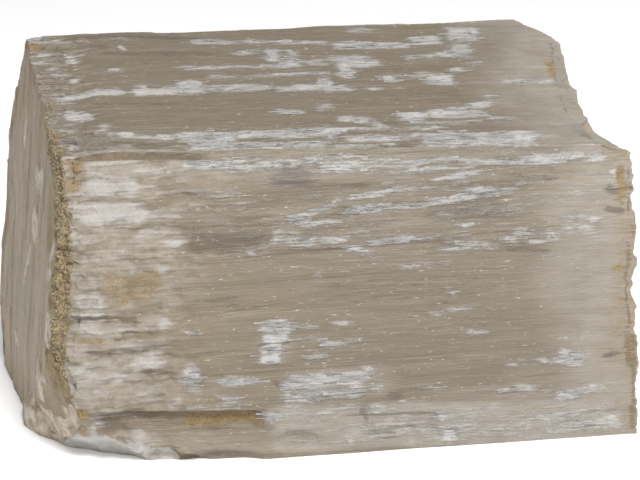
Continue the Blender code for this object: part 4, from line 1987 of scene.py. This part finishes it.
@dataclass(frozen=True)
class Groups:
    """The shader groups that the materials share.

    Args:
        grain: Noise drawn out along the fibres.
        patch: A mark's ragged patch.
    """

    grain: bpy.types.NodeTree
    patch: bpy.types.NodeTree


@dataclass(frozen=True)
class GrainSize:
    """The size of one streaky noise.

    Args:
        length: How long its streaks are, in millimetres.
        width: How wide they are.
        seed: What tells it from the others.
    """

    length: float
    width: float
    seed: float


@dataclass(frozen=True)
class Fringe:
    """What the border of one kind of mark is like.

    Args:
        ragged: How far the grain breaks it up.
        soft: How gradual it is.
    """

    ragged: float
    soft: float


# The noises that the finish is woven from, coarse ones first.
GRAINS = {
    "broad": GrainSize(60, 9, seed=0),
    "long": GrainSize(24, 1.1, seed=7),
    "hair": GrainSize(13, 0.3, seed=11),
    "thread": GrainSize(9, 0.26, seed=17),
    "middle": GrainSize(3.6, 0.45, seed=13),
    "fine": GrainSize(0.9, 0.22, seed=19),
    "lumps": GrainSize(1.5, 1.3, seed=29),
    "grit": GrainSize(0.45, 0.45, seed=37),
    "clouds": GrainSize(7, 3.4, seed=43),
    "specks": GrainSize(1.7, 0.6, seed=53),
    "chips": GrainSize(2.6, 2.2, seed=61),
}


@dataclass(frozen=True)
class SeleniteFinish:
    """Milky fibrous gypsum: translucent brown in its depth, pale where fibres have parted.

    Args:
        groups: The shared shader groups.
        deep: Dark stone between milky bands, and the colour of the painted shade.
        clear: The clearest stone, seen deepest into; on the upper face and the left end it is partly painted
            shade, darkening those sides as less light falls on them.
        pale: Stone full of fine gaps.
        frost: Frosted stone.
        bruise: Bruised fibres.
        snow: Its torn fibres.
        chalk: Bruises in frosted stone; on the foot they are partly painted light, keeping pale a face that
            turns down into shade.
        silk: Specks, and bruises on the silky ends, brighter there than on the front: partly painted light on
            ends that get less light.
        ochre: Stained stone.
        rust: The strongest stain.
        seam_dark: The seam's pits.
        seam_light: Its grains.
        crack_shade: Painted shade at its darkest: the dark of fissures and the thin shadow under a raised
            white spot.
        milkiness: How much light goes in and comes out again.
        depth: How far it goes in.
        tint: How far each colour of light goes in, as a share of that.
        bend: The index of refraction of gypsum.
        shine: How strongly the surface mirrors.
        relief: How high the finest fibres stand.
        relief_share: How much of that relief is shown.
        stone_fringe: The borders of bruises on whole stone.
        crumble_fringe: Their borders on crumbled stone.
        end_soft: How soft they are on the ends.
        shade_fringe: The borders of shade.
        stain_fringe: The borders of stains.
        seam_fringe: The borders of the seam.
    """

    groups: Groups
    deep: Colour = (0.103, 0.084, 0.06)
    clear: Colour = (0.1, 0.083, 0.061)
    pale: Colour = (0.265, 0.224, 0.162)
    frost: Colour = (0.3, 0.274, 0.235)
    bruise: Colour = (0.363, 0.347, 0.328)
    snow: Colour = (0.443, 0.428, 0.41)
    chalk: Colour = (0.515, 0.5, 0.476)
    silk: Colour = (0.6, 0.555, 0.48)
    ochre: Colour = (0.25, 0.175, 0.08)
    rust: Colour = (0.16, 0.1, 0.036)
    seam_dark: Colour = (0.175, 0.128, 0.07)
    seam_light: Colour = (0.36, 0.285, 0.17)
    crack_shade: Colour = (0.035, 0.025, 0.015)
    milkiness: float = 0.35
    depth: float = 0.0022
    tint: Colour = (1.0, 0.82, 0.6)
    bend: float = 1.52
    shine: float = 0.35
    relief: float = 0.45 * MM
    relief_share: float = 0.7
    stone_fringe: Fringe = Fringe(2.2, 0.32)
    crumble_fringe: Fringe = Fringe(1.9, 0.6)
    end_soft: float = 0.2
    shade_fringe: Fringe = Fringe(2.4, 0.2)
    stain_fringe: Fringe = Fringe(1.6, 0.3)
    seam_fringe: Fringe = Fringe(1.8, 0.2)

    def place(self, net: Network) -> bpy.types.NodeSocket:
        """Where a point is in millimetres, turned on the ends so that their streaks run upwards.

        Args:
            net: The material's network.

        Returns:
            The place, its first coordinate along the streaks.
        """
        objects = net.put("ShaderNodeTexCoord").outputs["Object"]
        scaled = net.put("ShaderNodeVectorMath", operation="SCALE")
        net.feed(scaled.inputs[0], objects)
        net.feed(scaled.inputs["Scale"], 1 / MM)
        parts = net.put("ShaderNodeSeparateXYZ")
        net.feed(parts.inputs[0], scaled.outputs[0])
        turned = net.put("ShaderNodeCombineXYZ")
        net.feed(turned.inputs[0], parts.outputs[2])
        lean = net.math("MULTIPLY_ADD", parts.outputs[2], LEFT_RIDGE_SLANT)
        net.feed(lean.node.inputs[2], parts.outputs[1])
        net.feed(turned.inputs[1], lean)
        net.feed(turned.inputs[2], parts.outputs[0])
        chosen = net.put("ShaderNodeMix", data_type="VECTOR")
        net.feed(chosen.inputs["Factor"], net.attribute("ends"))
        net.feed(chosen.inputs[4], scaled.outputs[0])
        net.feed(chosen.inputs[5], turned.outputs[0])
        return chosen.outputs[1]

    def grain(self, net: Network, place: object, size: GrainSize) -> bpy.types.NodeSocket:
        """Streaky noise of one size.

        Args:
            net: The material's network.
            place: The place in millimetres.
            size: The noise's size.

        Returns:
            A value about 0.5.
        """
        return net.group(
            self.groups.grain, Place=place, Length=size.length, Width=size.width, Seed=size.seed
        )

    def patch(self, net: Network, mark: object, grain: object, fringe: Fringe) -> bpy.types.NodeSocket:
        """One kind of mark with its border broken up.

        Args:
            net: The material's network.
            mark: How strong the mark is.
            grain: The noise that breaks up its border.
            fringe: What the border is like.

        Returns:
            A mask from 0 to 1.
        """
        return net.group(self.groups.patch, Mark=mark, Grain=grain, Ragged=fringe.ragged, Soft=fringe.soft)

    def material(self) -> bpy.types.Material:
        """Make the material.

        Returns:
            The material.
        """
        material = bpy.data.materials.new("selenite_stone")
        material.use_nodes = True
        net = Network(material.node_tree)
        shader = material.node_tree.nodes["Principled BSDF"]
        place = self.place(net)
        marks = {mark: net.attribute(mark.value) for mark in Mark}
        broad = self.grain(net, place, GRAINS["broad"])
        long = self.grain(net, place, GRAINS["long"])
        hair = self.grain(net, place, GRAINS["hair"])
        thread = self.grain(net, place, GRAINS["thread"])
        middle = self.grain(net, place, GRAINS["middle"])
        fine = self.grain(net, place, GRAINS["fine"])
        lumps = self.grain(net, place, GRAINS["lumps"])
        grit = self.grain(net, place, GRAINS["grit"])
        clouds = self.grain(net, place, GRAINS["clouds"])
        specks = self.grain(net, place, GRAINS["specks"])
        chips = self.grain(net, place, GRAINS["chips"])
        crumble = marks[Mark.CRUMBLE]
        ends = net.attribute("ends")

        # Streaks in whole stone and grains in crumbled stone, for the ragged edges of the marks.
        streaks = net.blend(0.45, middle, fine)
        ragged = net.blend(crumble, streaks, net.blend(0.4, clouds, lumps))
        ragged = net.blend(ends, ragged, net.blend(0.35, chips, lumps))

        # Bands of clear and milky stone, by how many gaps there are between the fibres.
        tone = 0.5
        for grain, share in ((broad, 0.3), (long, 0.35), (hair, 0.6), (streaks, 0.3)):
            tone = net.math("ADD", tone, net.math("MULTIPLY", net.math("SUBTRACT", grain, 0.5), share))
        colour = net.mix(tone, self.deep, self.pale)
        # Clear stone; on the upper face and the left end it is partly painted shade.
        colour = net.mix(net.math("MULTIPLY", marks[Mark.CLEAR], 0.6), colour, self.clear)
        dots = net.math("MULTIPLY", net.ease(specks, 0.66, 0.74), 0.55)
        colour = net.mix(dots, colour, self.silk)
        threads = net.math("MULTIPLY", net.ease(thread, 0.6, 0.7), net.blend(ends, 0.35, 0.5))
        colour = net.mix(threads, colour, self.frost)
        warmth = net.math("ADD", marks[Mark.OCHRE], net.math("MULTIPLY", ends, 0.75))
        colour = net.mix(net.math("MULTIPLY", warmth, 0.52), colour, self.ochre)

        drifting = net.math("MULTIPLY_ADD", net.blend(0.55, ragged, clouds), 1.9)
        net.feed(drifting.node.inputs[2], -0.2)
        frosted = net.math("MULTIPLY", marks[Mark.FROST], drifting)
        colour = net.mix(frosted, colour, self.frost)

        # Crumbled stone is mottled with pale lumps rather than streaks.
        bare = net.math("SUBTRACT", 1.0, net.ease(marks[Mark.CLEAR], 1.0, 1.7))
        mottle = net.math("MULTIPLY", net.math("MULTIPLY", crumble, bare), net.ease(clouds, 0.36, 0.62))
        colour = net.mix(net.math("MULTIPLY", mottle, 0.45), colour, self.frost)

        # Shade: partly darker stone, partly painted shade under flakes and brows, along rims and in creases.
        shaded = self.patch(net, marks[Mark.SHADE], ragged, self.shade_fringe)
        colour = net.mix(net.math("MULTIPLY", shaded, 0.75), colour, self.deep)

        soft = net.blend(crumble, self.stone_fringe.soft, self.crumble_fringe.soft)
        soft = net.blend(ends, soft, self.end_soft)
        swing = net.blend(crumble, self.stone_fringe.ragged, self.crumble_fringe.ragged)
        bruised = net.group(self.groups.patch, Mark=marks[Mark.BRUISE], Grain=ragged, Ragged=swing, Soft=soft)
        torn = net.blend(crumble, fine, net.blend(0.5, fine, lumps))
        white = net.mix(net.ease(torn, 0.3, 0.6), self.bruise, self.snow)
        # Frosted bruises take the chalk colour; on the foot this is partly painted light, keeping pale a face
        # that turns down into shade.
        white = net.mix(net.math("MULTIPLY", marks[Mark.FROST], marks[Mark.FROST]), white, self.chalk)
        # On the ends the bruises take the brighter silk colour, partly painted light on ends that get less
        # light than the front.
        white = net.mix(ends, white, self.silk)
        strength = net.ease(marks[Mark.BRUISE], 0.35, 0.95)
        thin, thick = net.blend(strength, 0.4, 0.75), net.blend(strength, 0.6, 0.95)
        solid = net.blend(net.ease(clouds, 0.38, 0.6), thin, thick)
        bruised = net.math("MULTIPLY", bruised, bare)
        colour = net.mix(net.math("MULTIPLY", bruised, solid), colour, white)

        stained = self.patch(net, marks[Mark.OCHRE], ragged, self.stain_fringe)
        stain = net.mix(net.ease(grit, 0.38, 0.6), self.rust, self.ochre)
        colour = net.mix(net.math("MULTIPLY", stained, 0.8), colour, stain)

        crusted = net.blend(0.5, clouds, grit)
        seamed = self.patch(net, marks[Mark.SEAM], crusted, self.seam_fringe)
        crust = net.mix(net.ease(grit, 0.38, 0.6), self.seam_dark, self.seam_light)
        colour = net.mix(seamed, colour, crust)
        # Painted shade at its darkest where the shade mark is strongest: fissures, and the thin shadow under
        # a raised white spot.
        colour = net.mix(net.ease(marks[Mark.SHADE], 1.1, 1.7), colour, self.crack_shade)
        net.feed(shader.inputs["Base Color"], colour)

        rough = net.math("ADD", 0.3, net.math("MULTIPLY", long, 0.2))
        rough = net.math("ADD", rough, net.math("MULTIPLY", bruised, 0.22))
        rough = net.math("ADD", rough, net.math("MULTIPLY", seamed, 0.35))
        rough = net.math("ADD", rough, net.math("MULTIPLY", crumble, 0.15))
        net.feed(shader.inputs["Roughness"], rough)

        # Hair-fine fibres in relief, frayed where bruised, granular where crumbled or crusted.
        fibres = net.blend(crumble, 0.7, 0.4)
        height = net.math("ADD", net.math("MULTIPLY", hair, 0.5), net.math("MULTIPLY", streaks, fibres))
        rough_parts = ((fine, bruised, 0.8), (grit, seamed, 2.2), (grit, crumble, 0.3), (lumps, crumble, 0.7))
        for grain, where, share in rough_parts:
            height = net.math("ADD", height, net.math("MULTIPLY", net.math("MULTIPLY", grain, where), share))
        height = net.math("ADD", height, net.math("MULTIPLY", bruised, 0.25))
        bump = net.put("ShaderNodeBump")
        net.feed(bump.inputs["Strength"], self.relief_share)
        net.feed(bump.inputs["Distance"], self.relief)
        net.feed(bump.inputs["Height"], height)
        net.feed(shader.inputs["Normal"], bump.outputs[0])

        shader.inputs["Subsurface Weight"].default_value = self.milkiness
        shader.inputs["Subsurface Radius"].default_value = self.tint
        shader.inputs["Subsurface Scale"].default_value = self.depth
        shader.inputs["IOR"].default_value = self.bend
        shader.inputs["Specular IOR Level"].default_value = self.shine
        return material


@dataclass
class Studio:
    """A plain pale floor, soft light all round and the camera.

    Args:
        target: What the camera looks at.
        azimuth: The camera's turn about the target, in degrees.
        elevation: Its height above the horizon, in degrees.
        distance: Its distance from the target.
        lens: Its lens in millimetres, on a sensor 36 mm wide.
        floor_span: The floor's length and width.
        floor_colour: The floor's colour.
        table_glow: How bright it shines by itself, as a light table does.
        room: How bright the room is all round.
        key_power: The key light's power in watts.
        key_size: Its width.
        key_place: Where it hangs.
    """

    target: Vector = field(default_factory=lambda: Vector([part * MM for part in VIEW_TARGET]))
    azimuth: float = VIEW_AZIMUTH
    elevation: float = VIEW_ELEVATION
    distance: float = VIEW_DISTANCE * MM
    lens: float = VIEW_LENS
    floor_span: float = 6
    floor_colour: Colour = (0.93, 0.93, 0.93)
    table_glow: float = 0.14
    room: float = 0.48
    key_power: float = 18
    key_size: float = 0.3
    key_place: Vector = field(default_factory=lambda: Vector((0.1, -0.8, 0.95)))

    def lay_floor(self) -> None:
        """A plain pale floor under the crystal."""
        mesh = bmesh.new()
        bmesh.ops.create_grid(mesh, x_segments=1, y_segments=1, size=self.floor_span / 2)
        data = bpy.data.meshes.new("floor")
        mesh.to_mesh(data)
        mesh.free()
        paint = bpy.data.materials.new("floor_paint")
        paint.use_nodes = True
        shader = paint.node_tree.nodes["Principled BSDF"]
        shader.inputs["Base Color"].default_value = (*self.floor_colour, 1.0)
        shader.inputs["Roughness"].default_value = 0.9
        shader.inputs["Specular IOR Level"].default_value = 0.1
        shader.inputs["Emission Color"].default_value = (1.0, 1.0, 1.0, 1.0)
        shader.inputs["Emission Strength"].default_value = self.table_glow
        data.materials.append(paint)
        floor = bpy.data.objects.new("floor", data)
        bpy.context.scene.collection.objects.link(floor)

    def light_room(self) -> None:
        """Even white light from all round, and a soft key from the upper left."""
        world = bpy.data.worlds.new("room")
        world.use_nodes = True
        sky = world.node_tree.nodes["Background"]
        sky.inputs["Color"].default_value = (1.0, 1.0, 1.0, 1.0)
        sky.inputs["Strength"].default_value = self.room
        bpy.context.scene.world = world
        data = bpy.data.lights.new("key", "AREA")
        data.size = self.key_size
        data.energy = self.key_power
        key = bpy.data.objects.new("key", data)
        key.location = self.key_place
        key.rotation_euler = (self.target - self.key_place).to_track_quat("-Z", "Y").to_euler()
        bpy.context.scene.collection.objects.link(key)

    def place_camera(self) -> None:
        """The camera in front, a little to the left and above."""
        turn, rise = math.radians(self.azimuth), math.radians(self.elevation)
        back = Vector((math.sin(turn) * math.cos(rise), -math.cos(turn) * math.cos(rise), math.sin(rise)))
        data = bpy.data.cameras.new("camera")
        data.lens = self.lens
        data.sensor_width = SENSOR_WIDTH
        data.clip_start = 0.01
        data.clip_end = 20
        camera = bpy.data.objects.new("camera", data)
        camera.location = self.target + back * self.distance
        camera.rotation_euler = (-back).to_track_quat("-Z", "Y").to_euler()
        bpy.context.scene.collection.objects.link(camera)
        bpy.context.scene.camera = camera

    def build(self) -> None:
        """Set up the floor, the light and the camera."""
        self.lay_floor()
        self.light_room()
        self.place_camera()
        bpy.context.scene.view_settings.view_transform = "Standard"


def main() -> None:
    """Build the crystal's pieces in order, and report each."""
    noise.seed_set(STRAY_SEED)
    logging.basicConfig(level=logging.INFO, format="%(message)s")
    log = logging.getLogger("selenite")
    groups = Groups(fibre_grain(), ragged_patch())
    stone = SeleniteFinish(groups).material()
    block = CrystalBlock().build(stone)
    slivers = Slivers().build(block, stone)
    grit = SeamGrit().build(block, stone)
    for piece in (block, slivers, grit):
        log.info("%s: %d faces", piece.name, len(piece.data.polygons))
    Studio().build()


if __name__ == "__main__":
    main()
